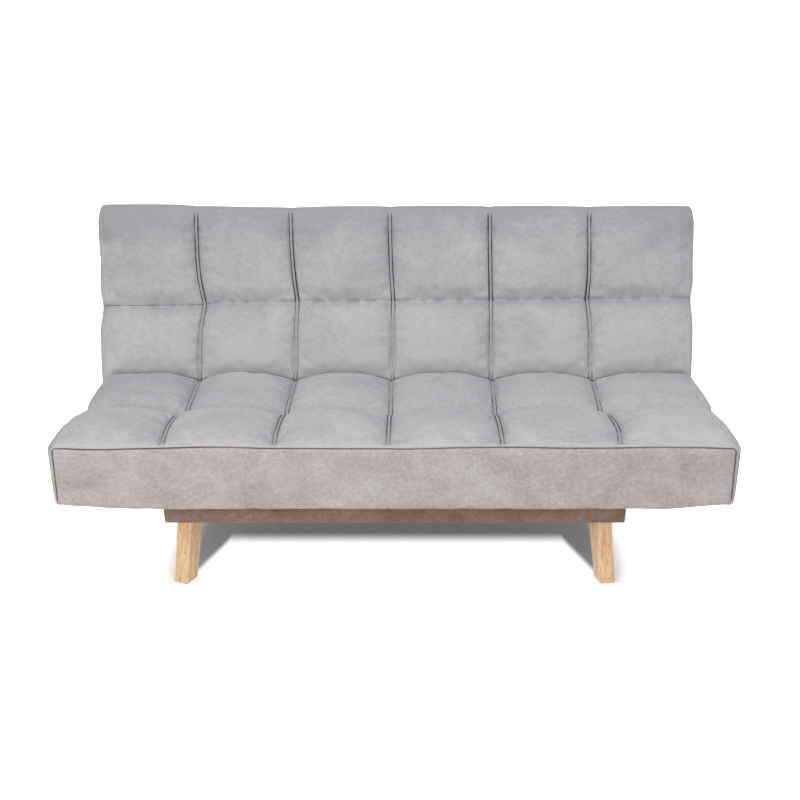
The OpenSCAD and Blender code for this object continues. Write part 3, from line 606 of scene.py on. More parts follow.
@dataclass
class Quilting:
    """The tufted pattern of one cushion: where its seams run and how deep they pull.

    Attributes:
        width: the cushion's width in metres.
        columns: cells side by side.
        drift: how far the middle column line is sewn to one side.
        floor_half: half the width of a column seam's flat floor.
        wall: how far the cloth takes to rise out of that floor.
        crown: how far a cell stands up in its middle.
        edge_fullness: fullness at the cushion's ends, as a share of a crown's.
        tuft_shift: sideways step of each column line at its tuft.
        row_tilt: how far the row seam drifts along the columns from the middle to the last of them.
        row_step: how far it is sewn off its line on the first column.
        tuft_depth: how much deeper a tuft is than a column seam.
        seam_depth: depth of a column seam far from its tuft.
        row_depth: depth of the row seam between tufts.
        pull: reach of a tuft along its seams.
        rise: power that rounds a seat's cell from front to rear: lower is fuller.
        plump: power that rounds it across.
        spans: mesh spans across a cell.
        end_turns: mesh spans round the cushion's ends.
        lean_reach: reach of a tuft's sideways step.
    """

    width: float
    columns: int = 6
    drift: float = 16 * MM
    floor_half: float = 6.4 * MM
    wall: float = 1.4 * MM
    crown: float = 20 * MM
    edge_fullness: float = 0.5
    tuft_shift: tuple[float, ...] = (0.0, 0.0, 0.0, 0.0, 0.0)
    row_tilt: float = 0.0
    row_step: float = 0.0
    tuft_depth: float = 8.5 * MM
    seam_depth: float = 5 * MM
    row_depth: float = 4 * MM
    pull: float = 42 * MM
    rise: float = 0.42
    plump: float = 0.5
    spans: int = 24
    end_turns: int = 5
    lean_reach: float = 62 * MM

    def seam_x(self, k: float) -> float:
        """Place of column line k across the cushion; the sewn middle sits a little to one side."""
        u = k / self.columns
        return self.width * (u - 0.5) - 4 * self.drift * u * (1 - u)

    def stations(self, round_r: float) -> list[tuple[float, float, float]]:
        """Places across the cushion.

        Args:
            round_r: radius that rounds the cushion's ends.

        Returns:
            (x, column number with its fraction, how far the outline draws in) for each place.
        """
        found = []
        for i in range(self.end_turns):
            angle = math.pi / 2 * i / self.end_turns
            x = round_r * (1 - math.cos(angle)) - self.width / 2
            found.append((x, 0.0, round_r * (1 - math.sin(angle))))
        ends = [(-x, float(self.columns), inset) for x, _, inset in reversed(found)]
        for column in range(self.columns):
            first, last = column == 0, column == self.columns - 1
            start = self.seam_x(column) + (round_r if first else self.floor_half)
            end = self.seam_x(column + 1) - (round_r if last else self.floor_half)
            # The places crowd together a little towards the seams.
            shares = [0.65 * i / self.spans + 0.35 * (0.5 - 0.5 * math.cos(math.pi * i / self.spans))
                      for i in range(self.spans + 1)]
            wall = self.wall / (end - start)
            if not first:
                shares.insert(1, wall)
            if not last:
                shares.insert(-1, 1 - wall)
            found += [(start + (end - start) * share, column + share, 0.0) for share in shares]
        return found + ends

    def across(self, u: float) -> float:
        """Fullness across a column, 0 at its seams; the outer columns stay fuller at the cushion's ends.

        Args:
            u: column number with its fraction.

        Returns:
            The fullness, from 0 to 1.
        """
        share = u - math.floor(u)
        edge = self.edge_fullness
        if u < ON_LINE or u > self.columns - ON_LINE:
            return edge
        if share < ON_LINE or share > 1 - ON_LINE:
            return 0.0
        full = 0.2 + 0.8 * math.sin(math.pi * share) ** self.plump
        if (u < 1 and share < 0.5) or (u > self.columns - 1 and share > 0.5):
            return edge + (1 - edge) * full
        return full

    def nearest_seam(self, u: float) -> int:
        """Number of the column line nearest to a place across."""
        return min(max(round(u), 1), self.columns - 1)

    def by_seam(self, u: float) -> float:
        """Nearness to a column line: 1 on it, and 0 in the middle of a cell and along the cushion's ends."""
        return math.exp(-abs(u - round(u)) / 0.07) * (0 < round(u) < self.columns)

    def column_line(self, along_tuft: float, fade: float) -> float:
        """Height of a column seam at a distance from its tuft, faded out towards the cushion's edge."""
        return -fade * (self.seam_depth + self.tuft_depth * math.exp(-along_tuft / self.pull))

    def row_line(self, u: float) -> float:
        """Height of the row seam at a place across, deepest at its tufts."""
        to_tuft = abs(u - self.nearest_seam(u)) * self.width / self.columns
        deeper = self.seam_depth + self.tuft_depth - self.row_depth
        return -self.row_depth - deeper * math.exp(-to_tuft / self.pull)

    def bend(self, u: float, along_tuft: float) -> float:
        """Sideways lean of the column lines where they run into their tufts.

        Args:
            u: column number with its fraction.
            along_tuft: distance from the tufted row line in metres.

        Returns:
            The lean in metres.
        """
        k = self.nearest_seam(u)
        near = max(0.0, 1 - abs(u - k))
        return self.tuft_shift[k - 1] * near * math.exp(-(along_tuft / self.lean_reach) ** 1.5)

    def row_offset(self, u: float) -> float:
        """How far the row seam is sewn off its line at a place across; it steps at the first tuft."""
        middle = self.columns / 2
        return self.row_tilt * (u / middle - 1) - self.row_step * (1 - smooth_step(0.9, 1.2, u))

    def wrinkle(self, u: float, v: float, seed: float) -> float:
        """Small folds of the cloth, which run across the column seams and die out in the middle of the cells.

        Args:
            u: column number with its fraction.
            v: place along the columns in metres.
            seed: what sets one cushion's folds apart from another's.

        Returns:
            The folds' height in metres.
        """
        near = 1 - self.across(u)
        across = smooth_noise.noise(Vector((u * 2.3, v / (34 * MM), seed)))
        slack = smooth_noise.noise(Vector((u * 1.9, v / (95 * MM), seed + 5)))
        return 1.5 * MM * across * near * (1 - near) * 4 + 2.2 * MM * slack * self.across(u)

    def height(self, u: float, full_v: float, along_tuft: float, fade: float, tufted: bool) -> float:
        """Height of the quilted surface over the plane of the cushion's edge.

        Args:
            u: column number with its fraction.
            full_v: fullness along the row, 0 on its seam or edge.
            along_tuft: distance from the tufted row line in metres.
            fade: 1 on the cushion, 0 where the seams have run out at its edge.
            tufted: whether the nearest line along the row is the tufted one and not the cushion's edge.

        Returns:
            The height in metres.
        """
        full_u = self.across(u)
        column = self.column_line(along_tuft, fade)
        row = self.row_line(u) if tufted else 0.0
        corner = -(self.seam_depth + self.tuft_depth) if tufted else 0.0
        return (
            (1 - full_u) * column
            + (1 - full_v) * row
            - (1 - full_u) * (1 - full_v) * corner
            + full_u * full_v * self.crown
        )


@dataclass
class PaddedBody:
    """A closed cushion lofted along X through outlines of four sides, with puffed ends.

    Attributes:
        name: the piece's name.
        quilting: its tufted pattern.
        round_r: radius that rounds its ends.
        end_bulge: how far the ends bulge in their middle.
        slack: how much wider the cloth is cut than the form, as a share.
        puff_cap: the furthest that the puffing may move the cloth.
        end_power: power that rounds the ends upwards: lower is fuller.
    """

    name: str
    quilting: Quilting
    round_r: float
    end_bulge: float
    slack: float
    puff_cap: float
    end_power: float = 0.6

    def outline(self, u: float, inset: float) -> list[np.ndarray]:
        """Four sides of the outline as rows of two coordinates, each starting where the last one ends."""
        raise NotImplementedError

    def painted_tone(self, u: float, spot: Vector) -> float:
        """Painted light and shade at a place: above 0 it is painted paler, below 0 darker."""
        raise NotImplementedError

    def body(self) -> tuple[bpy.types.Object, np.ndarray, np.ndarray]:
        """Makes the closed mesh.

        Returns:
            The object, each vertex's column number and its number round the outline, -1 on the two ends.
        """
        places = self.quilting.stations(self.round_r)
        rows, columns, numbers, points = [], [], [], []
        for x, u, inset in places:
            sides = self.outline(u, inset)
            ring = np.concatenate([side[:-1] for side in sides])
            rows.append(sides)
            for j, (a, b) in enumerate(ring):
                points.append((x + self.sideways(u, a, b), a, b))
                columns.append(u)
                numbers.append(j)
        around = len(points) // len(places)
        faces = tube_faces(len(places), around)
        for end, start in ((0, 0), (-1, (len(places) - 1) * around)):
            faces += self.end_faces(points, rows[end], places[end][0], start)
        extra = len(points) - len(columns)
        piece = mesh_piece(self.name, points, faces)
        return piece, np.array(columns + [-1.0] * extra), np.array(numbers + [-1] * extra)

    def held(self, columns: np.ndarray, quilted: np.ndarray, row: np.ndarray) -> np.ndarray:
        """How firmly each vertex is held while the cells puff.

        Args:
            columns: each vertex's column number with its fraction.
            quilted: whether it is on the quilted side.
            row: whether it is on the row seam.

        Returns:
            1 on the seams, the ends and the plain sides, HOLD_BESIDE close beside a seam, 0 on the cells.
        """
        fraction = np.abs(columns - np.round(columns))
        inner = (columns > AT_END) & (columns < self.quilting.columns - AT_END)
        hold = np.where(quilted, 0.0, 1.0)
        hold[(quilted & inner & (fraction < ON_LINE)) | row] = 1.0
        hold[quilted & inner & (fraction > ON_LINE) & (fraction < BESIDE_LINE)] = HOLD_BESIDE
        hold[~inner] = 1.0
        return hold

    def over_row(self, start: float, row: float, end: float, spans: int) -> list[float]:
        """Places along the quilted side, spaced evenly on each side of the row seam.

        Args:
            start: where the side begins, in metres.
            row: where the row seam is.
            end: where the side ends.
            spans: spaces between the places, half of them on each side of the row seam.

        Returns:
            The places.
        """
        half = spans // 2
        places = [a + (b - a) * i / half for a, b in ((start, row), (row, end)) for i in range(half)]
        return places + [end]

    def quilt(self, piece: bpy.types.Object, columns: np.ndarray, hold: np.ndarray, row: np.ndarray) -> None:
        """Stores the painted light and shade, puffs the cells and rounds them off between their seams.

        Args:
            piece: the cushion's closed mesh.
            columns: each vertex's column number with its fraction.
            hold: how firmly each vertex is held.
            row: whether it is on the row seam.
        """
        # Painted light and shade by place, stored on each point for the suede.
        painted_tones = np.array([self.painted_tone(u, v.co) for u, v in zip(columns, piece.data.vertices)])
        layer = piece.data.attributes.new(PAINTED_LIGHT_ATTRIBUTE, "FLOAT", "POINT")
        layer.data.foreach_set("value", painted_tones.astype(np.float32))
        puff(piece, hold, self.slack, self.puff_cap)
        crease_edges(piece, row)
        subdivide(piece)

    def sideways(self, u: float, a: float, b: float) -> float:
        """How far the column lines lean at a place on the outline."""
        return 0.0

    def end_share(self, s: float, t: float) -> float:
        """Share of the bulge at a place on an end: s along the outline's first side, t along its second."""
        return 1.0

    def end_faces(self, points: list, sides: list[np.ndarray], x: float, start: int) -> list[list[int]]:
        """Closes one end with a grid between its four sides, bulged outwards.

        A point inside is set from the four sides at its own place and from their corners.

        Args:
            points: the mesh's points, to which the grid's own are added.
            sides: the outline's four sides there.
            x: the end's place.
            start: number of the end ring's first point.

        Returns:
            The faces.
        """
        low, right, high, left = sides
        top, far = high[::-1], left[::-1]
        wide, tall = len(low) - 1, len(right) - 1
        number = {}
        for i in range(wide + 1):
            for j in range(tall + 1):
                if j == 0:
                    number[i, j] = start + i
                elif i == wide:
                    number[i, j] = start + wide + j
                elif j == tall:
                    number[i, j] = start + wide + tall + (wide - i)
                elif i == 0:
                    number[i, j] = start + 2 * wide + tall + (tall - j)
                else:
                    s, t = i / wide, j / tall
                    spot = ((1 - t) * low[i] + t * top[i] + (1 - s) * far[j] + s * right[j]
                            - (1 - s) * (1 - t) * low[0] - s * (1 - t) * low[wide]
                            - (1 - s) * t * top[0] - s * t * top[wide])
                    full = min(1.0, 3 * fullness(s)) * fullness(t, self.end_power)
                    out = self.end_bulge * self.end_share(s, t) * full
                    number[i, j] = len(points)
                    points.append((x + math.copysign(out, x), spot[0], spot[1]))
        return [[number[i, j], number[i + 1, j], number[i + 1, j + 1], number[i, j + 1]]
                for i in range(wide) for j in range(tall)]


# ---------------------------------------------------------------- cords, tapes and stitching


def heading(spots: list[Vector], i: int) -> Vector:
    """Direction of a path at its point number i."""
    return (spots[min(i + 1, len(spots) - 1)] - spots[max(i - 1, 0)]).normalized()


def sweep(path: list, section: list[tuple[float, float]], across: Vector) -> tuple[list, list]:
    """Carries a closed section along a path.

    Args:
        path: points in metres, each with a fourth value that scales the section's height.
        section: points of the section, sideways and outwards, in metres.
        across: the sideways direction.

    Returns:
        Points and faces, with both ends closed.
    """
    points = []
    spots = [Vector(p[:3]) for p in path]
    for i, spot in enumerate(spots):
        ahead = heading(spots, i)
        out = across.cross(ahead).normalized()
        side = ahead.cross(out)
        points += [spot + side * a + out * (b * path[i][3]) for a, b in section]
    return points, rod_faces(len(path), len(section))


def bar_mesh(route: list, out: Vector, radius: float, around: int = 6) -> tuple[list, list]:
    """Carries a circle along a route.

    Args:
        route: points in metres, each with a fourth value that scales the radius.
        out: the direction that the bar's surface faces.
        radius: the bar's radius in metres.
        around: points round the bar.

    Returns:
        Points and faces, with both ends closed.
    """
    points = []
    spots = [Vector(p[:3]) for p in route]
    for i, spot in enumerate(spots):
        side = heading(spots, i).cross(out).normalized()
        wide = radius * route[i][3]
        for j in range(around):
            angle = 2 * math.pi * j / around
            points.append(spot + wide * (side * math.cos(angle) + out * math.sin(angle)))
    return points, rod_faces(len(spots), around)


def smooth(piece: bpy.types.Object) -> bpy.types.Object:
    """Shades a piece smooth all over.

    Args:
        piece: the piece.

    Returns:
        The same piece.
    """
    only(piece)
    bpy.ops.object.shade_smooth()
    return piece


def seam_tapes(name: str, paths: list) -> bpy.types.Object:
    """Makes one folded tape for each path: flat, softly crowned, with its edges turned under.

    Args:
        name: the piece's name.
        paths: the seams' valleys.

    Returns:
        The tapes as one piece.
    """
    half, lift, sunk = 3.9 * MM, 2.6 * MM, 1 * MM
    section = [(-half, -sunk), (-half, 0.45 * lift), (-0.78 * half, 0.85 * lift), (0, lift),
               (0.78 * half, 0.85 * lift), (half, 0.45 * lift), (half, -sunk)]
    piece = joined(name, [sweep(path, section, Vector((1, 0, 0))) for path in paths])
    subdivide(piece)
    return piece


def seam_shade_lines(name: str, paths: list, out: Vector) -> bpy.types.Object:
    """Makes dark lines of painted shade for the stitched edges beside each tape, tighter in some places.

    Args:
        name: the piece's name.
        paths: the seams' valleys.
        out: the direction that the cushion's surface faces.

    Returns:
        The edges as one piece.
    """
    radius, aside, lift, middle = 1.5 * MM, 5.2 * MM, 0.9 * MM, 2
    bars = []
    for number, path in enumerate(paths):
        for side in (-1, 1):
            # Painted shade: the line on the side of each tape towards the middle is drawn thicker.
            inner = 1.15 if side * (number - middle) < 0 else 0.85
            route = []
            for i, (x, y, z, share, weight) in enumerate(path):
                tight = 1 + 0.45 * smooth_noise.noise(Vector((number * 3.1, side * 2.0, i * 0.07)))
                spot = Vector((x + side * aside, y, z)) + lift * out
                route.append((*spot, weight * inner * tight * min(1.0, 0.3 + share)))
            bars.append(bar_mesh(route, out, radius))
    return smooth(joined(name, bars))


def sewn_shade_line(name: str, path: list, out: Vector, radius: float, around: int = 6) -> bpy.types.Object:
    """Makes one sunk line of stitching, or a cord sewn into a seam, which stands as painted shade.

    Args:
        name: the piece's name.
        path: points in metres, each with a fourth value that scales the radius.
        out: the direction that the cushion's surface faces.
        radius: the line's radius in metres.
        around: points round the line.

    Returns:
        The piece.
    """
    return smooth(joined(name, [bar_mesh(path, out, radius, around)]))


# ---------------------------------------------------------------- where things are


def pivot() -> tuple[float, float, float]:
    """The pivot axis and the backrest's lean.

    Returns:
        The axis's y and z in metres and the lean in radians.
    """
    joint = next(j for j in frame["joints"] if j["name"] == "back_recline")
    lean = math.radians(90 - joint["range_deg"][1])
    return joint["pos_m"][1], joint["pos_m"][2], lean


def cut_slots(obj: bpy.types.Object, low_y: float, low_z: float, high_y: float, high_z: float) -> None:
    """Cuts the room for the mechanism out of both halves of a soft piece.

    Args:
        obj: the piece.
        low_y: where the slots start from front to rear, in metres.
        low_z: where they start upwards.
        high_y: where they end from front to rear.
        high_z: where they end upwards.
    """
    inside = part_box("right_pivot_pin")[0].x - 5 * MM
    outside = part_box("right_back_arm")[1].x + 9 * MM
    for x0, x1 in ((inside, outside), (-outside, -inside)):
        low, high = Vector((x0, low_y, low_z)), Vector((x1, high_y, high_z))
        bpy.ops.object.select_all(action="DESELECT")
        bpy.ops.mesh.primitive_cube_add(size=1, location=(low + high) / 2, scale=high - low)
        cutter = bpy.context.active_object
        only(obj)
        modifier = obj.modifiers.new("slot", "BOOLEAN")
        modifier.operation = "DIFFERENCE"
        modifier.solver = "EXACT"
        modifier.object = cutter
        bpy.ops.object.modifier_apply(modifier="slot")
        bpy.data.objects.remove(cutter)


# ---------------------------------------------------------------- seat


@dataclass
class SeatCushion(PaddedBody):
    """The quilted seat: cover, front panel, seam cord and the tapes over its column seams.

    Attributes:
        lip: measure of the roll over the front seam.
        crease_gap: room between the soft rear edge and the backrest.
        crease_round: how far before the crease the top starts to roll down.
        end_drop: how much the top drops for each metre that its ends draw in.
        top_spans: mesh spans from front to rear.
        wall_spans: mesh spans up the front and the rear.
        seam_wave: how far the front seam wavers.
        hem_sag: how far the front panel's hem sags.
        cord_outside: how far the panel and its seam cord reach past the panel's box on each side.
        side_draw: how far the side at low X draws in.
        front_bow: sideways bow of each column line before the row seam.
        front_end: where each line then meets the row seam.
        rear_start: where it goes on behind the row seam.
        rear_end: where it meets the crease.
    """

    lip: float = 5.0 * MM
    crease_gap: float = 4.0 * MM
    crease_round: float = 15 * MM
    end_drop: float = 1.1
    top_spans: int = 50
    wall_spans: int = 9
    seam_wave: float = 6.0 * MM
    hem_sag: float = 11.0 * MM
    cord_outside: float = 1.0 * MM
    side_draw: float = 21 * MM
    front_bow: tuple[float, ...] = (-9 * MM, -5 * MM, 0.0, 2 * MM, 14 * MM)
    front_end: tuple[float, ...] = (-5 * MM, 0.0, 0.0, -2 * MM, 6 * MM)
    rear_start: tuple[float, ...] = (17 * MM, 6 * MM, 3 * MM, -3 * MM, -9 * MM)
    rear_end: tuple[float, ...] = (9 * MM, 7 * MM, 0.0, 6 * MM, 6 * MM)

    def __post_init__(self) -> None:
        """Reads the seat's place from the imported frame."""
        self.low, self.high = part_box("seat_top_cover")
        self.panel_low, self.panel_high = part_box("seat_front_panel")
        self.axis_y, self.axis_z, self.lean = pivot()
        self.edge_z = self.panel_high.z
        self.back_r = self.edge_z - self.axis_z
        self.back_front = self.back_y(self.edge_z)
        self.row_y = (self.panel_low.y + self.back_front) / 2

    def back_y(self, z: float) -> float:
        """Place of the backrest's flat front at a height."""
        return self.axis_y - self.back_r / math.cos(self.lean) + (z - self.axis_z) * math.tan(self.lean)

    def seam_z(self, x: float) -> float:
        """Height of the front seam, which wavers a little along the seat and lies still at its corners.

        Args:
            x: the place across in metres.

        Returns:
            The height in metres.
        """
        still = smooth_step(0, 0.1, self.panel_high.x - abs(x))
        waver = self.seam_wave * wander(x, 3.1, 0.31) + 1.4 * MM * wander(x, 5.7, 0.12)
        return self.edge_z - 1.5 * MM + waver * still

    def row_at(self, u: float) -> float:
        """Place of the row seam from front to rear at a place across."""
        return self.row_y + self.quilting.row_offset(u)

    def top_height(self, u: float, y: float) -> float:
        """Height of the quilted top over the edge plane.

        Args:
            u: column number with its fraction.
            y: the place from front to rear in metres.

        Returns:
            The height in metres.
        """
        front, rear, row = self.low.y, self.back_front, self.row_at(u)
        away = abs(y - row)
        if y < row:
            share = (y - front) / (row - front)
            full, tufted = fullness(share, self.quilting.rise), share > 0.5
            fade = smooth_step(0.04, 0.16, share)
        else:
            share = 0.85 * (y - row) / (rear - row)
            full, tufted = fullness(min(share, 0.5), 0.45), share < 0.5
            fade = 1.0
            away = min(away, max(rear - y, 0.0) + 30 * MM)
        folds = self.quilting.wrinkle(u, y, 2.7) * min(full, fade)
        return self.quilting.height(u, full, away, fade, tufted) + folds

    def sideways(self, u: float, a: float, b: float) -> float:
        """How far the column lines of the top lean on their way into their tufts.

        Args:
            u: column number with its fraction.
            a: the place from front to rear in metres.
            b: the height in metres.

        Returns:
            The lean in metres.
        """
        if b < self.edge_z - 40 * MM:
            return 0.0
        k = self.quilting.nearest_seam(u)
        row, rear = self.row_at(u), self.back_front
        before = clamp((a - self.low.y) / (row - self.low.y))
        behind = clamp((a - row) / (rear - row))
        front = self.front_bow[k - 1] * math.sin(math.pi * before) + self.front_end[k - 1] * before ** 2
        back = self.rear_start[k - 1] + (self.rear_end[k - 1] - self.rear_start[k - 1]) * behind
        passed = smooth_step(row - 12 * MM, row + 3 * MM, a)
        return (front + (back - front) * passed) * max(0.0, 1 - abs(u - k))

    def drawn(self, x: float, y: float, z: float) -> float:
        """How far the left side is drawn in, high up behind the row seam.

        Args:
            x: the place across in metres.
            y: the place from front to rear.
            z: the height.

        Returns:
            The distance in metres.
        """
        along = smooth_step(self.row_y - 100 * MM, self.row_y - 5 * MM, y)
        along *= 1 - 0.4 * smooth_step(self.row_y, self.back_front, y)
        across = 1 - smooth_step(self.low.x, self.low.x + 260 * MM, x)
        return self.side_draw * along * across * smooth_step(self.axis_z - 15 * MM, self.axis_z + 55 * MM, z)

    def outline(self, u: float, inset: float) -> list[np.ndarray]:
        """Bottom, rear, top and front of the seat at one column number.

        Args:
            u: column number with its fraction.
            inset: how far the outline draws in on the rounded ends, in metres.

        Returns:
            The four sides as rows of (y, z), each starting where the last one ends.
        """
        front, rear_wall = self.low.y - 0.4 * MM + 0.03 * inset, self.high.y - 0.2 * inset
        foot, edge, drop = self.low.z + 1 * MM, self.edge_z, self.end_drop * inset
        hem, depth, inner = 3 * MM, rear_wall - front, self.top_spans - 2
        bottom = [front, front + hem, *(front + depth * i / inner for i in range(1, inner))]
        bottom += [rear_wall - hem, rear_wall]
        crease_y = self.back_front - self.crease_gap
        top_end, top_start = crease_y - self.crease_round, self.low.y + 6 * MM
        rear_top = self.top_height(u, top_end)
        under_lip = edge - 30 * MM
        # The plain rear wall, then the lip: it leans out over the wall and rolls forward into the top.
        rear = [(rear_wall, foot + up) for up in (0.0, hem, 35 * MM, 75 * MM)]
        rear += [
            (rear_wall, edge - 48 * MM),
            (self.back_y(under_lip) - self.crease_gap - 5 * MM, under_lip - 0.4 * drop),
            (crease_y - 2 * MM, edge - 12 * MM + 0.3 * rear_top - drop),
            (crease_y - 3 * MM, edge - 1 * MM + 0.68 * rear_top - drop),
            (top_end + 8 * MM, edge + 0.93 * rear_top - drop),
            (top_end, edge + rear_top - drop),
        ]
        places = self.over_row(top_end, self.row_at(u), top_start, self.top_spans)
        top = [(y, edge + self.top_height(u, y) - drop) for y in places]
        # The front edge rolls down into the seam, and a plain wall goes on behind the front panel.
        seam = self.seam_z(self.quilting.width * (u / self.quilting.columns - 0.5)) - 0.5 * drop
        front_side = [
            top[-1],
            (self.low.y, seam + 1.5 * self.lip),
            (self.low.y - 2.5 * MM, seam + 0.9 * self.lip),
            (self.low.y - 2.2 * MM, seam + 0.3 * self.lip),
            (front, seam - 1 * MM),
            *((front, foot + share * (edge - foot)) for share in (0.7, 0.45, 0.2)),
            (front, foot + hem),
            (front, foot),
        ]
        return [np.array(side) for side in ([(y, foot) for y in bottom], rear, top, front_side)]

    def end_share(self, s: float, t: float) -> float:
        """The sides are pulled in where the row seam ends."""
        y = self.low.y + s * (self.high.y - self.low.y)
        return (1 - 0.75 * math.exp(-((y - self.row_y) / (38 * MM)) ** 2)) * (0.62 + 0.38 * t)

    def painted_tone(self, u: float, spot: Vector) -> float:
        """Painted tone: painted shade in the seams and towards the crease, a painted highlight at the front edge.

        Args:
            u: column number with its fraction, below 0 on the two ends.
            spot: the place in metres.

        Returns:
            The painted tone, paler above 0.
        """
        # Painted light and shade: the ends a little darker; painted shade in the seams, on the row seam and
        # towards the crease; a painted highlight on the front lip; the front right painted lighter, the rear left
        # darker.
        if u < 0:
            return -0.1
        seam = self.quilting.by_seam(u)
        row = math.exp(-abs(spot.y - self.row_y) / (20 * MM))
        rear = smooth_step(self.row_y - 60 * MM, self.row_y + 120 * MM, spot.y)
        lip = math.exp(-max(spot.y - self.low.y, 0.0) / (9 * MM))
        left, right = 1 - smooth_step(0.8, 1.4, u), smooth_step(4.6, 5.4, u)
        ends = 0.45 * (1 - rear) * right * (1 - lip) - 0.5 * rear * left
        return 0.4 - 0.15 * rear - 0.5 * max(seam, row) * (1 - lip) + 0.7 * lip + ends

    def cover(self, finish: bpy.types.Material) -> bpy.types.Object:
        """Builds the cover, puffs its cells and cuts the slots for the mechanism.

        Args:
            finish: the cover's material.

        Returns:
            The cushion.
        """
        piece, columns, numbers = self.body()
        for vertex in piece.data.vertices:
            vertex.co.x += self.drawn(*vertex.co)
        first = self.top_spans + self.wall_spans
        last = first + self.top_spans
        row = numbers == first + self.top_spans // 2
        hold = self.held(columns, (numbers >= first) & (numbers <= last), row)
        hold[(numbers == first) | (numbers == last)] = 1.0
        self.quilt(piece, columns, hold, row)
        slot_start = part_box("seat_rear_rails")[1].y + 1 * MM
        cut_slots(piece, slot_start, self.low.z - 10 * MM, self.high.y + 20 * MM, self.axis_z + 30 * MM)
        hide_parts("seat_top_cover", "seat_foam")
        return settle(self.give(piece), finish, Rides.SEAT)

    def give(self, piece: bpy.types.Object) -> bpy.types.Object:
        """Lets the soft rear lip stay against the backrest while the seat's front is lifted.

        Args:
            piece: a finished piece of the seat that reaches the lip.

        Returns:
            The same piece, blended from the seat to the base.
        """
        start = (0.0, self.back_front - 56 * MM, self.edge_z - 35 * MM)
        end = (0.0, self.back_front - 4 * MM, self.edge_z + 5 * MM)
        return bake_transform(piece, Rides.SEAT.value, Rides.BASE.value, start=start, end=end)

    def hem_z(self, x: float) -> float:
        """Height of the front panel's hem, which sags between its corners and ripples a little."""
        sag = self.hem_sag * smooth_step(0, 220 * MM, self.panel_high.x - abs(x)) ** 0.7
        return self.panel_low.z - sag + 1.5 * MM * wander(x, 9.4, 0.035) + 1.4 * MM * wander(x, 2.2, 0.12)

    def front_panel(self, finish: bpy.types.Material) -> bpy.types.Object:
        """Builds the padded front panel: full along its middle, drawn in at its seams, with a rippled hem.

        Args:
            finish: the panel's material, painted warmer as bounced light.

        Returns:
            The panel.
        """
        low, high = self.panel_low, self.panel_high
        half, across, up = high.x + self.cord_outside, 150, 22
        corner, swell_width, swell_depth = 15 * MM, 14 * MM, 5.5 * MM
        front, back = [], []
        for j in range(up + 1):
            for i in range(across + 1):
                s = 2 * i / across - 1
                flat_x = half * s
                bottom = self.hem_z(flat_x)
                z = bottom + (self.seam_z(flat_x) - 1.5 * MM - bottom) * (j / up)
                lower = min(max(corner - (z - bottom), 0.0), corner)
                draw = corner - math.sqrt(corner ** 2 - lower ** 2)
                x = math.copysign(min(abs(flat_x), half - 1 * MM - draw), s)
                edge = min(half - draw - abs(x), high.z - z, 1.4 * (z - bottom) + 3 * MM)
                full = clamp(edge / swell_width)
                swell = swell_depth * math.sin(math.pi / 2 * full) ** 0.8
                roll = 1.3 * MM * smooth_noise.noise(Vector((x / 0.11, z / 0.06, 1.5))) * full
                near_hem = 1 - smooth_step(4 * MM, 45 * MM, z - bottom)
                pucker = 0.9 * MM * wander(x, 4.4, 0.026) * near_hem
                front.append((x, low.y + 2.6 * MM - swell - roll - pucker, z))
                back.append((x, high.y - 0.3 * MM, z))
        piece = panel("seat_front_panel_padded", front, back, across)
        subdivide(piece)
        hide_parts("seat_front_panel")
        return settle(piece, finish, Rides.SEAT)

    def seam_path(self, k: int) -> list[tuple[float, ...]]:
        """Points along the valley of one column seam from front to rear.

        Args:
            k: the column line's number.

        Returns:
            Points in metres, each with how far the tape stands out and how thick its lines of painted shade are.
        """
        start, end = self.low.y + 17 * MM, self.back_front - 10 * MM
        path = []
        for i in range(SEAM_STEPS + 1):
            y = start + (end - start) * i / SEAM_STEPS
            x = self.quilting.seam_x(k) + self.sideways(k, y, self.edge_z)
            before = max(self.row_y - y, 0.0) / (self.row_y - self.low.y)
            # Painted shade: the lines are drawn thickest towards the tufts in front and thin behind the row seam.
            weight = 0.6 if y > self.row_y else 1.3 - 0.8 * before ** 2
            share = smooth_step(0, 0.06, i / SEAM_STEPS)
            path.append((x, y, self.edge_z + self.top_height(k, y), share, weight))
        return path

    def crossing(self, x: float, u: float, y: float) -> float:
        """Place across of a point on the top, after the column lines' lean and the side's draw."""
        return x + (self.sideways(u, y, self.edge_z) + self.drawn(x, y, self.edge_z))

    def row_path(self) -> list[tuple[float, ...]]:
        """Points along the row seam from left to right, each with its thickness, for a line of painted shade.

        Returns:
            The points in metres.
        """
        path = []
        for x, u, inset in self.quilting.stations(self.round_r):
            y = self.row_at(u)
            z = self.edge_z + self.top_height(u, y) - self.end_drop * inset
            path.append((self.crossing(x, u, y), y, z, 0.8))
        return path

    def rear_path(self) -> list[tuple[float, ...]]:
        """Points along the seam where the top meets the rear wall, close against the backrest: a line of painted
        shade.

        Returns:
            The points in metres, each with its thickness.
        """
        path = []
        crease_y = self.back_front - self.crease_gap
        for x, u, inset in self.quilting.stations(self.round_r):
            rear_top = self.top_height(u, crease_y - self.crease_round)
            z = self.edge_z + 0.72 * rear_top - self.end_drop * inset
            path.append((self.crossing(x, u, crease_y), crease_y - 2 * MM, z, 1.0))
        return path

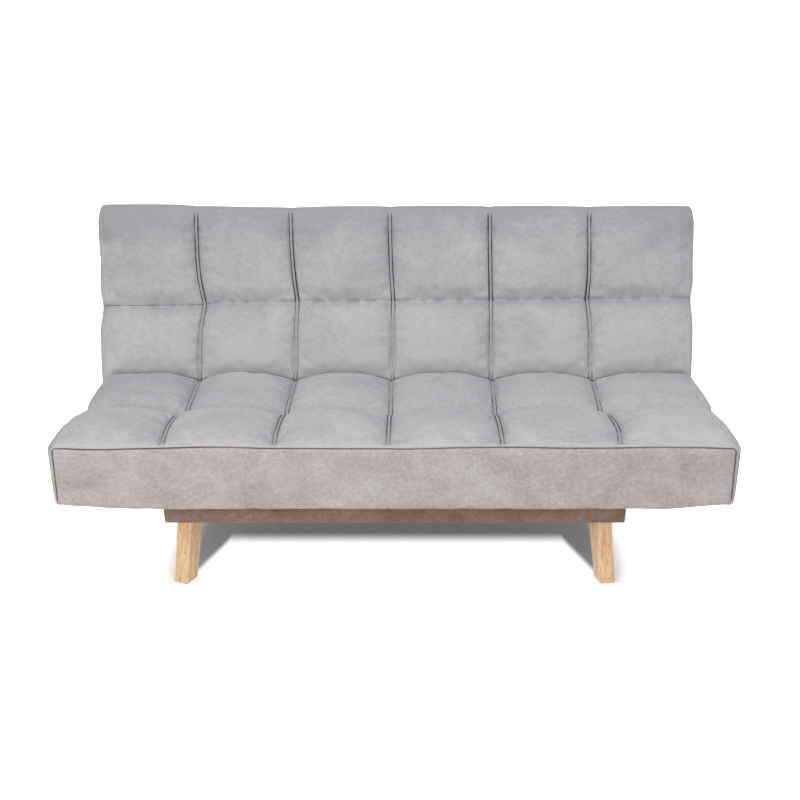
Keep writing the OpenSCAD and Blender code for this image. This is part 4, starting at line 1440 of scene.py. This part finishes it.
    def seams(self, tape: bpy.types.Material, shade_thread: bpy.types.Material) -> None:
        """Builds the folded tape over each column seam, and painted shade lines at its edges, the rear crease and
        the row seam.

        Args:
            tape: the tapes' material, painted a little darker as shade.
            shade_thread: the material of the painted shade lines.
        """
        paths = [self.seam_path(k) for k in range(1, self.quilting.columns)]
        settle(self.give(seam_tapes("seat_seam_tapes", paths)), tape, Rides.SEAT)
        settle(self.give(seam_shade_lines("seat_seam_shade_lines", paths, UP)), shade_thread, Rides.SEAT)
        rear = sewn_shade_line("seat_rear_crease_shade", self.rear_path(), UP, 1.3 * MM)
        settle(self.give(rear), shade_thread, Rides.SEAT)
        settle(sewn_shade_line("seat_row_seam_shade", self.row_path(), UP, 0.9 * MM), shade_thread, Rides.SEAT)

    def seam_shade_cord(self, finish: bpy.types.Material) -> bpy.types.Object:
        """Builds the thin cord sunk in the front panel's seam, along its top and down both sides; its dark colour
        is painted shade.

        Args:
            finish: the cord's material.

        Returns:
            The cord.
        """
        half, y = self.panel_high.x + self.cord_outside, self.low.y - 1.6 * MM
        bottom = self.panel_low.z + 12 * MM
        tall = self.seam_z(half) - 9 * MM - bottom
        down, across = 8, 120
        route = [(-half, y, bottom + tall * i / down, 1.0) for i in range(down + 1)]
        for i in range(2 * across + 1):
            x = (half - 6 * MM) * (i / across - 1)
            route.append((x, y, self.seam_z(x), 1 + 0.45 * wander(x, 8.8, 0.15)))
        route += [(half, y, bottom + tall * i / down, 1.0) for i in range(down, -1, -1)]
        piece = sewn_shade_line("seat_seam_shade_cord", route, FORWARD, 1.15 * MM, 8)
        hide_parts("seat_welt")
        return settle(piece, finish, Rides.SEAT)


# ---------------------------------------------------------------- backrest


@dataclass
class BackCushion(PaddedBody):
    """The quilted backrest, built upright in its own frame: thickness along Y, pivot to top edge along Z.

    Attributes:
        face_spans: mesh spans up the face and up the rear.
        thin_spans: mesh spans round the foot; those over the top add up to as many.
        rear_turns: of those over the top, spans round the rear edge.
        top_turns: and round the front edge; two more lie between.
        top_round: radius of the upper front edge.
        rear_round: radius of the upper rear edge.
        top_lean: sideways place of each column line along the top, ends included.
        foot_lean: sideways place of the lines at the foot.
        slot_half: half the depth of the tool that cuts the mechanism's notches.
        slot_height: how far the notches reach up from the pivot.
    """

    face_spans: int = 56
    thin_spans: int = 12
    rear_turns: int = 4
    top_turns: int = 6
    top_round: float = 34 * MM
    rear_round: float = 14 * MM
    top_lean: tuple[float, ...] = (-14 * MM, -4 * MM, -9 * MM, -4 * MM, 0.0, -1 * MM, 11 * MM)
    foot_lean: float = 4 * MM
    slot_half: float = 120 * MM
    slot_height: float = 55 * MM

    def __post_init__(self) -> None:
        """Reads the backrest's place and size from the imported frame."""
        self.axis_y, self.axis_z, self.lean = pivot()
        self.half_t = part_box("seat_front_panel")[1].z - self.axis_z
        cosine, sine = math.cos(self.lean), math.sin(self.lean)
        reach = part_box("back_front_cover")[1].z - self.axis_z - self.top_round
        self.length = (reach - (self.half_t - self.top_round) * sine) / cosine + self.top_round
        self.crease_s = self.half_t * (1 - sine) / cosine
        self.row_s = 0.5 * self.length + 3 * MM

    def lean_back(self, piece: bpy.types.Object) -> None:
        """Leans a piece back about the pivot axis, from the backrest's own frame.

        Args:
            piece: the piece, built upright with its thickness along Y.
        """
        cosine, sine = math.cos(self.lean), math.sin(self.lean)
        for vertex in piece.data.vertices:
            t, s = vertex.co.y, vertex.co.z
            vertex.co.y = self.axis_y + t * cosine + s * sine
            vertex.co.z = self.axis_z - t * sine + s * cosine
        piece.data.update()

    def row_at(self, u: float) -> float:
        """Distance of the row seam from the pivot at a place across."""
        return self.row_s + self.quilting.row_offset(u)

    def face_height(self, u: float, s: float) -> float:
        """Height of the quilted face over its edge plane.

        Args:
            u: column number with its fraction.
            s: distance from the pivot in metres.

        Returns:
            The height in metres.
        """
        top, low, row = self.length, self.crease_s - 30 * MM, self.row_at(u)
        away = abs(s - row)
        if s > row:
            share = (s - row) / (top - row)
            fade = 1 - smooth_step(0.88, 0.96, share)
            settled = 1 - 0.75 * smooth_step(0.75, 1.0, share)
        else:
            share = (row - s) / (row - low)
            fade = 1.0
            settled = smooth_step(self.crease_s - 2 * MM, self.crease_s + 38 * MM, s)
        full = fullness(0.5 * min(share * 1.25, 1.0), 0.45)
        folds = self.quilting.wrinkle(u, s, 8.1) * full
        return (self.quilting.height(u, full, away, fade, share < 0.8) + folds) * settled

    def sideways(self, u: float, a: float, b: float) -> float:
        """How far the column lines lean: to their places along the top, and into their tufts on the face.

        Args:
            u: column number with its fraction.
            a: the place through the thickness in metres, below 0 on the face.
            b: distance from the pivot in metres.

        Returns:
            The lean in metres.
        """
        raised = smooth_step(0.35, 0.95, b / self.length)
        top = float(np.interp(u, range(self.quilting.columns + 1), self.top_lean))
        bend = self.quilting.bend(u, abs(b - self.row_at(u))) if a < 0 else 0.0
        return top * raised + self.foot_lean * (1 - raised) + bend

    def end_share(self, s: float, t: float) -> float:
        """The sides are pulled in where the row seam ends."""
        return 1 - 0.6 * math.exp(-((t * self.length - self.row_s) / (40 * MM)) ** 2)

    def outline(self, u: float, inset: float) -> list[np.ndarray]:
        """Rounded foot, rear, top edge and face of the backrest at one column number.

        Args:
            u: column number with its fraction.
            inset: how far the outline draws in on the rounded ends, in metres.

        Returns:
            The four sides as rows of (thickness, distance from the pivot), each starting where the last
            one ends.
        """
        front_r, back_r = self.half_t - inset, self.half_t - 0.2 * inset
        length = self.length - 1.6 * inset
        if inset == 0:
            length -= 3 * MM * (1 - self.quilting.across(u))
        # The top edge stands a little higher on the first column, dips on the second and wavers all along.
        length += 5 * MM * (1 - smooth_step(0.5, 1.4, u)) - 3 * MM * math.exp(-((u - 1.8) / 0.7) ** 2)
        length += 1.5 * MM * smooth_noise.noise(Vector((u * 0.9, 4.0, 0.2)))
        foot = []
        for i in range(self.thin_spans + 1):
            share = i / self.thin_spans
            r = front_r + (back_r - front_r) * share
            foot.append((-r * math.cos(math.pi * share), -r * math.sin(math.pi * share)))
        top_r, rear_r = self.top_round, self.rear_round
        rear_end, face_top, top_y = length - rear_r, length - top_r, top_r - front_r
        rear = [(back_r, rear_end * i / self.face_spans) for i in range(self.face_spans + 1)]
        top = []
        for i in range(self.rear_turns):
            angle = math.pi / 2 * i / self.rear_turns
            top.append((back_r - rear_r + rear_r * math.cos(angle), rear_end + rear_r * math.sin(angle)))
        top += [(back_r - rear_r, length), (0.0, length + 1.5 * MM), (top_y, length)]
        for i in range(1, self.top_turns):
            angle = math.pi / 2 * i / self.top_turns
            top.append((top_y - top_r * math.sin(angle), face_top + top_r * math.cos(angle)))
        top.append((-front_r - self.face_height(u, face_top), face_top))
        places = self.over_row(face_top, self.row_at(u), 0.0, self.face_spans)
        face = [(-front_r - self.face_height(u, s), s) for s in places]
        return [np.array(side) for side in (foot, rear, top, face)]

    def painted_tone(self, u: float, spot: Vector) -> float:
        """Painted tone: painted shade in the seams, on the upper row and the top edge, painted light on the lower
        row.

        Args:
            u: column number with its fraction, below 0 on the two ends.
            spot: the place in the backrest's own frame, in metres.

        Returns:
            The painted tone, paler above 0.
        """
        # Painted shade on the ends and the rear, darker towards the top edge.
        if u < 0 or spot.y > -0.6 * self.half_t:
            return -0.2 - 0.5 * smooth_step(self.length - 60 * MM, self.length - 10 * MM, spot.z)
        # Painted shade in the seams, on the upper row, more on the outer columns and along the top; painted light
        # on the lower row and just above the crease.
        seam = self.quilting.by_seam(u)
        above = spot.z - self.row_at(u)
        row = 0.3 * math.exp(-above / (16 * MM)) if above > 0 else 1.7 * math.exp(above / (24 * MM))
        top = smooth_step(140 * MM, 262 * MM, above)
        upper = smooth_step(self.row_s - 70 * MM, self.row_s + 120 * MM, spot.z)
        outer = smooth_step(2.1, 3.0, abs(u - self.quilting.columns / 2))
        crease = 1 - smooth_step(self.crease_s, self.crease_s + 110 * MM, spot.z)
        crease *= smooth_step(self.crease_s - 40 * MM, self.crease_s, spot.z)
        return 0.8 - (0.5 + 0.5 * outer) * upper - 1.3 * top + 0.8 * crease - max(0.45 * seam, row)

    def cover(self, finish: bpy.types.Material) -> bpy.types.Object:
        """Builds the cushion, puffs its cells, cuts the mechanism's notches and leans it back.

        Args:
            finish: the cover's material.

        Returns:
            The cushion.
        """
        piece, columns, numbers = self.body()
        first = 2 * self.thin_spans + self.face_spans
        on_face = numbers >= first
        row = numbers == first + self.face_spans // 2
        hold = self.held(columns, on_face, row)
        up = np.array([v.co.z for v in piece.data.vertices])
        hold[(hold == 0) & (up < self.crease_s + 24 * MM)] = 1.0
        self.quilt(piece, columns, hold, row)
        cut_slots(piece, -self.slot_half, -self.slot_half, self.slot_half, self.slot_height)
        self.lean_back(piece)
        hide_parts("back_front_cover", "back_foam")
        return settle(piece, finish, Rides.BACK)

    def rear_cloth(self, finish: bpy.types.Material) -> bpy.types.Object:
        """Stretches the rear cloth over the frame, with small puckers along its stapled edge.

        Args:
            finish: the cloth's material.

        Returns:
            The cloth.
        """
        half, low_s, high_s = self.quilting.width / 2 - 6 * MM, 12 * MM, self.length - 17 * MM
        across, up = 170, 56
        outer, inner = [], []
        for j in range(up + 1):
            s = low_s + (high_s - low_s) * (0.5 - 0.5 * math.cos(math.pi * j / up))
            by_end = min(s - low_s, high_s - s)
            for i in range(across + 1):
                x = half * (2 * i / across - 1)
                edge = min(half - abs(x), by_end)
                along = x if by_end < half - abs(x) else s
                fade = math.exp(-edge / (22 * MM)) * min(1.0, edge / (6 * MM))
                pucker = 1.0 * MM * wander(along, 3.3, 0.03) * fade
                hem = 1.2 * MM * math.exp(-((edge - 3 * MM) / (4 * MM)) ** 2)
                outer.append((x, self.half_t + 1.6 * MM + pucker + hem, s))
                inner.append((x, self.half_t - 0.4 * MM, s))
        piece = panel("back_rear_cloth", outer, inner, across)
        cut_slots(piece, 0.0, -self.slot_half, self.slot_half, self.slot_height + 3 * MM)
        only(piece)
        bpy.ops.object.shade_smooth_by_angle(angle=HARD_EDGE)
        self.lean_back(piece)
        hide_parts("back_rear_cover")
        return settle(piece, finish, Rides.BACK)

    def seam_path(self, k: int) -> list[tuple[float, ...]]:
        """Points along the valley of one column seam, from below the top edge to the crease.

        Args:
            k: the column line's number.

        Returns:
            Points in metres, each with how far the tape stands out and how thick its lines of painted shade are.
        """
        start, end = self.length - 26 * MM, self.crease_s - 2 * MM
        path = []
        for i in range(SEAM_STEPS + 1):
            s = start + (end - start) * i / SEAM_STEPS
            x = self.quilting.seam_x(k) + self.sideways(k, -1.0, s)
            away = max(s - self.length + self.top_round, 0.0)
            edge = self.top_round - self.half_t - math.sqrt(self.top_round ** 2 - away ** 2)
            # Painted shade: the lines are drawn thicker on the upper row than on the lower.
            weight = 1.4 if s > self.row_s else 0.65
            share = smooth_step(0, 0.05, i / SEAM_STEPS)
            path.append((x, edge - self.face_height(k, s), s, share, weight))
        return path

    def row_path(self) -> list[tuple[float, ...]]:
        """Points along the row seam from left to right, each with its thickness, for a line of painted shade.

        Returns:
            The points in metres.
        """
        path = []
        for x, u, inset in self.quilting.stations(self.round_r):
            s = self.row_at(u)
            depth = inset - self.half_t - self.face_height(u, s)
            weight = 1.1 - 0.6 * smooth_step(0.95, 1.15, u)
            path.append((x + self.sideways(u, -1.0, s), depth, s, weight))
        return path

    def seams(self, tape: bpy.types.Material, shade_thread: bpy.types.Material) -> None:
        """Builds the folded tape over each column seam, and painted shade lines at its edges and the row seam.

        Args:
            tape: the tapes' material, painted a little darker as shade.
            shade_thread: the material of the painted shade lines.
        """
        paths = [self.seam_path(k) for k in range(1, self.quilting.columns)]
        tapes = seam_tapes("back_seam_tapes", paths)
        edges = seam_shade_lines("back_seam_shade_lines", paths, FORWARD)
        row = sewn_shade_line("back_row_seam_shade", self.row_path(), FORWARD, 0.9 * MM)
        for piece, finish in ((tapes, tape), (edges, shade_thread), (row, shade_thread)):
            self.lean_back(piece)
            settle(piece, finish, Rides.BACK)


# ---------------------------------------------------------------- base


@dataclass
class WrappedBase:
    """The cloth stretched round the base box and folded under its edges.

    Attributes:
        corner: radius of the box's corners.
        cloth: thickness of the cloth.
        lip: how far the cloth is folded in over the top edge.
        wall_steps: mesh spans down the wall.
    """

    corner: float = 4 * MM
    cloth: float = 1.6 * MM
    lip: float = 18 * MM
    wall_steps: int = 9

    def __post_init__(self) -> None:
        """Reads the wrap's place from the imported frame."""
        self.low, self.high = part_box("base_wrap")

    def ring(self, inset: float, z: float, pucker: float) -> list[tuple[float, float, float]]:
        """One level round the base.

        Args:
            inset: how far it is drawn in from the box, in metres.
            z: its height.
            pucker: how far its cloth wavers.

        Returns:
            Its points, from the right front corner round by the rear.
        """
        r = self.corner - min(inset, self.corner * 0.5)
        right, left = self.high.x - inset, self.low.x + inset
        front, rear = self.low.y + inset, self.high.y - inset
        # Each corner: its place, the signs of its x and y, and where its arc starts in degrees.
        corners = [(right, front, 1, -1, -90), (right, rear, 1, 1, 0),
                   (left, rear, -1, 1, 90), (left, front, -1, -1, 180)]
        spots = []
        for k, (x, y, sx, sy, turn) in enumerate(corners):
            mid = (x - sx * r, y - sy * r)
            for i in range(7):
                angle = math.radians(turn + 15 * i)
                spots.append((mid[0] + r * math.cos(angle), mid[1] + r * math.sin(angle), z))
            next_x, next_y, next_sx, next_sy, _ = corners[(k + 1) % 4]
            start = spots[-1]
            sideways = bool(k % 2)
            end = (next_x - next_sx * r, next_y) if sideways else (next_x, next_y - next_sy * r)
            steps = 60 if sideways else 24
            for i in range(1, steps):
                share = i / steps
                x, y = (a + (b - a) * share for a, b in zip(start, end))
                if sideways:
                    y += sy * pucker * wander(x, 6.0 + z * 9, 0.05)
                else:
                    x += sx * 0.4 * pucker * wander(y, 7.0 + z * 9, 0.05)
                spots.append((x, y, z))
        return spots

    def wrap(self, finish: bpy.types.Material) -> bpy.types.Object:
        """Builds the wrap as one closed band with a rounded, slightly puckered lower edge.

        Args:
            finish: the cloth's material.

        Returns:
            The wrap.
        """
        low, high, cloth = self.low.z, self.high.z, self.cloth
        # Inset, height and pucker of each level: over the top edge, down the wall, under and up inside again.
        levels = [(self.lip, high, 0.0), (3 * MM, high, 0.0), (0.8 * MM, high - 1 * MM, 0.0)]
        for i in range(self.wall_steps + 1):
            share = i / self.wall_steps
            z = high - 4 * MM - (high - low - 9 * MM) * share
            levels.append((0.6 * MM - 1.4 * MM * math.sin(math.pi * share), z, 0.8 * MM * share))
        levels += [
            (0.9 * MM, low + 1.6 * MM, 0.4 * MM), (2.4 * MM, low + 0.2 * MM, 0.2 * MM),
            (9 * MM, low, 0.0), (9 * MM, low + cloth, 0.0), (3.6 * MM, low + cloth + 0.6 * MM, 0.0),
            (2.4 * MM, low + 12 * MM, 0.0), (2.4 * MM, high - 6 * MM, 0.0),
            (3.2 * MM, high - cloth, 0.0), (self.lip, high - cloth, 0.0),
        ]
        rings = [self.ring(*level) for level in levels]
        points = [spot for ring in rings for spot in ring]
        faces = [[k % len(points) for k in face] for face in tube_faces(len(rings) + 1, len(rings[0]))]
        piece = mesh_piece("base_cloth_wrap", points, faces)
        only(piece)
        bpy.ops.object.shade_smooth_by_angle(angle=HARD_EDGE)
        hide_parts("base_wrap")
        return settle(piece, finish, Rides.BASE)


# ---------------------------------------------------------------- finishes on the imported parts


def dress_nodes() -> None:
    """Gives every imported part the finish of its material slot; sawn timber's grain follows its own length."""
    made = {}
    for part in frame["record"]["subparts"]:
        key = part["material_slot"]
        finish = NODE_FINISHES[key]
        if finish is PINE:
            low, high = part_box(part["node"])
            spans = [b - a for a, b in zip(low, high)]
            longest = spans.index(max(spans))
            key = f"{PINE.name}_{'xyz'[longest]}"
            along = tuple(GRAIN_STRETCH if i == longest else 1.0 for i in range(3))
            finish = replace(PINE, name=key, along=along)
        if key not in made:
            made[key] = finish.material()
        materials = frame["nodes"][part["node"]].data.materials
        materials.clear()
        materials.append(made[key])


# ---------------------------------------------------------------- studio


@dataclass(frozen=True)
class Lamp:
    """A soft rectangular lamp."""

    name: str
    place: tuple[float, float, float]
    aim: tuple[float, float, float]
    size: tuple[float, float]
    watts: float
    colour: str

    def build(self) -> bpy.types.Object:
        """Hangs the lamp and points it at its aim.

        Returns:
            The lamp.
        """
        light = bpy.data.lights.new(self.name, "AREA")
        light.shape = "RECTANGLE"
        light.size, light.size_y = self.size
        light.energy = self.watts
        light.color = linear(self.colour)[:3]
        lamp = bpy.data.objects.new(self.name, light)
        lamp.location = self.place
        lamp.rotation_euler = (Vector(self.aim) - Vector(self.place)).to_track_quat("-Z", "Y").to_euler()
        bpy.context.scene.collection.objects.link(lamp)
        return lamp


LAMPS = (
    Lamp("overhead_softbox", (0.1, -1.3, 3.0), (0.0, -0.3, 0.2), (3.2, 1.8), 32.0, "FFFEFC"),
    Lamp("front_softbox", (0.0, -2.6, 3.4), (0.0, -0.3, 0.3), (3.0, 1.6), 17.0, "FFFDFA"),
    Lamp("left_softbox", (-2.4, -2.6, 1.6), (0.0, -0.3, 0.4), (2.0, 1.4), 17.0, "FFFBF6"),
)


def largest(tree: bpy.types.NodeTree, sources: list[tuple]) -> tuple[bpy.types.Node, str]:
    """Finds the largest of several values in a node tree.

    Args:
        tree: the node tree.
        sources: (node, output) of each value.

    Returns:
        The (node, output) that gives the largest.
    """
    found = sources[0]
    for source in sources[1:]:
        found = (add_node(tree, "ShaderNodeMath", {"operation": "MAXIMUM"}, {0: found, 1: source}), "Value")
    return found


@dataclass(frozen=True)
class BackdropPaper:
    """Matt white paper that glows to the camera, except where it keeps the object's shadow.

    The kept zone lies below and behind the object. Each pair says between which places, in metres, the glow
    comes in: before the object, behind it and beside it. By the legs the zone reaches further forward.
    """

    name: str
    colour: str
    before: tuple[float, float] = (-0.04, -0.13)
    behind: tuple[float, float] = (0.25, 0.85)
    beside: tuple[float, float] = (0.55, 0.68)
    by_legs: tuple[float, float] = (0.48, 0.565)
    leg_reach: float = 0.26
    least_glow: float = 0.03

    def material(self) -> bpy.types.Material:
        """Builds the paper, whose glow only the camera and reflections see.

        Returns:
            The material.
        """
        made = bpy.data.materials.new(self.name)
        tree = empty_tree(made)
        place = add_node(tree, "ShaderNodeTexCoord", {})
        split = add_node(tree, "ShaderNodeSeparateXYZ", {}, {"Vector": (place, "Object")})
        aside = add_node(tree, "ShaderNodeMath", {"operation": "ABSOLUTE"}, {0: (split, "X")})
        near, far = self.by_legs
        wedge = add_node(tree, "ShaderNodeMapRange", {
            "From Min": near, "From Max": far, "To Max": self.leg_reach,
        }, {"Value": (aside, "Value")})
        depth = add_node(tree, "ShaderNodeMath", {"operation": "ADD"},
                         {0: (split, "Y"), 1: (wedge, "Result")})
        edges = []
        for (near, far), source in ((self.before, (depth, "Value")), (self.behind, (split, "Y")),
                                    (self.beside, (aside, "Value"))):
            edge = add_node(tree, "ShaderNodeMapRange", {
                "interpolation_type": "SMOOTHSTEP", "From Min": near, "From Max": far,
            }, {"Value": source})
            edges.append((edge, "Result"))
        share = add_node(tree, "ShaderNodeMapRange", {"To Min": self.least_glow, "To Max": 1.0},
                         {"Value": largest(tree, edges)})
        path = add_node(tree, "ShaderNodeLightPath", {})
        seen = largest(tree, [(path, "Is Camera Ray"), (path, "Is Glossy Ray")])
        strength = add_node(tree, "ShaderNodeMath", {"operation": "MULTIPLY"},
                            {0: seen, 1: (share, "Result")})
        paper = add_node(tree, "ShaderNodeBsdfDiffuse", {"Color": linear(self.colour)})
        glow = add_node(tree, "ShaderNodeEmission", {"Color": linear("FFFFFF")},
                        {"Strength": (strength, "Value")})
        both = add_node(tree, "ShaderNodeAddShader", {}, {0: (paper, "BSDF"), 1: (glow, "Emission")})
        add_node(tree, "ShaderNodeOutputMaterial", {}, {"Surface": (both, "Shader")})
        return made


# Backdrop paper, matt and uncoated: plain white with the object's own soft shadow on it.
WHITE_PAPER = BackdropPaper("white_paper", "F6F6F6")


def backdrop() -> bpy.types.Object:
    """Builds the white floor and the curved backdrop behind it.

    Returns:
        The floor with its backdrop.
    """
    half, rear, height, turns, r = 9.0, 5.0, 8.0, 12, 1.5
    profile = [(-half, 0.0), (rear, 0.0)]
    for i in range(1, turns + 1):
        angle = math.pi / 2 * i / turns
        profile.append((rear + r * math.sin(angle), r - r * math.cos(angle)))
    profile.append((rear + r, height))
    points = [(side * half, y, z) for y, z in profile for side in (-1, 1)]
    faces = [[2 * i, 2 * i + 1, 2 * i + 3, 2 * i + 2] for i in range(len(profile) - 1)]
    mesh = bpy.data.meshes.new("studio_floor")
    mesh.from_pydata(points, [], faces)
    floor = bpy.data.objects.new("studio_floor", mesh)
    bpy.context.scene.collection.objects.link(floor)
    mesh.materials.append(WHITE_PAPER.material())
    return floor


def surroundings() -> None:
    """Lights everything evenly from around, and shows white where nothing else is seen."""
    world = bpy.data.worlds.new("studio")
    bpy.context.scene.world = world
    tree = empty_tree(world)
    around = add_node(tree, "ShaderNodeBackground", {"Color": linear("FBFBFD"), "Strength": 0.53})
    white = add_node(tree, "ShaderNodeBackground", {"Color": linear("FFFFFF"), "Strength": 1.0})
    path = add_node(tree, "ShaderNodeLightPath", {})
    seen = largest(tree, [(path, kind) for kind in ("Is Camera Ray", "Is Glossy Ray", "Is Transmission Ray")])
    mixed = add_node(tree, "ShaderNodeMixShader", {},
                     {0: seen, 1: (around, "Background"), 2: (white, "Background")})
    add_node(tree, "ShaderNodeOutputWorld", {}, {"Surface": (mixed, "Shader")})


def camera() -> bpy.types.Object:
    """Sets the camera: a 52 mm lens, 20.3 degrees down, a little right of the middle.

    Returns:
        The camera.
    """
    eye = bpy.data.cameras.new("front_view")
    eye.lens, eye.sensor_width, eye.shift_x = 52.0, 36.0, -0.0145
    holder = bpy.data.objects.new("front_view", eye)
    holder.location = (0.0439, -3.0867, 1.540)
    holder.rotation_euler = (math.radians(90 - 20.3), 0.0, 0.0)
    bpy.context.scene.collection.objects.link(holder)
    bpy.context.scene.camera = holder
    return holder


def main() -> None:
    """Builds every piece in order, then the studio."""
    logging.basicConfig(level=logging.INFO)
    dress_nodes()
    # The panel's suede is painted warmer as bounced light, and the tapes' suede painted darker as shade.
    cushion, front, tape = CUSHION_SUEDE.material(), WARM_LIT_PANEL_SUEDE.material(), SHADED_TAPE_SUEDE.material()
    # Near-black thread for the lines of painted shade in the seams and the crease.
    shade_thread = SEAM_SHADE_THREAD.material()
    low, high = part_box("seat_top_cover")
    tufted = Quilting(high.x - low.x, crown=26 * MM, tuft_depth=13 * MM, seam_depth=2 * MM, pull=22 * MM,
                      rise=0.36, plump=0.72, edge_fullness=0.8)
    seat = SeatCushion("seat_cushion", tufted, round_r=22 * MM, end_bulge=14 * MM, end_power=0.4,
                       slack=0.035, puff_cap=9 * MM)
    seat.cover(cushion)
    seat.front_panel(front)
    seat.seams(tape, shade_thread)
    seat.seam_shade_cord(SEAM_SHADE_CORD.material())
    low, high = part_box("back_front_cover")
    sewn = Quilting(high.x - low.x, tuft_shift=tuple(v * MM for v in (15, 7, 3, 1, -8)),
                    row_tilt=8 * MM, row_step=8 * MM)
    back = BackCushion("back_cushion", sewn, round_r=15 * MM, end_bulge=13 * MM, slack=0.03, puff_cap=8 * MM)
    back.cover(cushion)
    back.rear_cloth(cushion)
    back.seams(tape, shade_thread)
    WrappedBase().wrap(BASE_SUEDE.material())
    camera()
    backdrop()
    surroundings()
    for lamp in LAMPS:
        lamp.build()
    bpy.context.scene.view_settings.view_transform = "Standard"


if __name__ == "__main__":
    main()
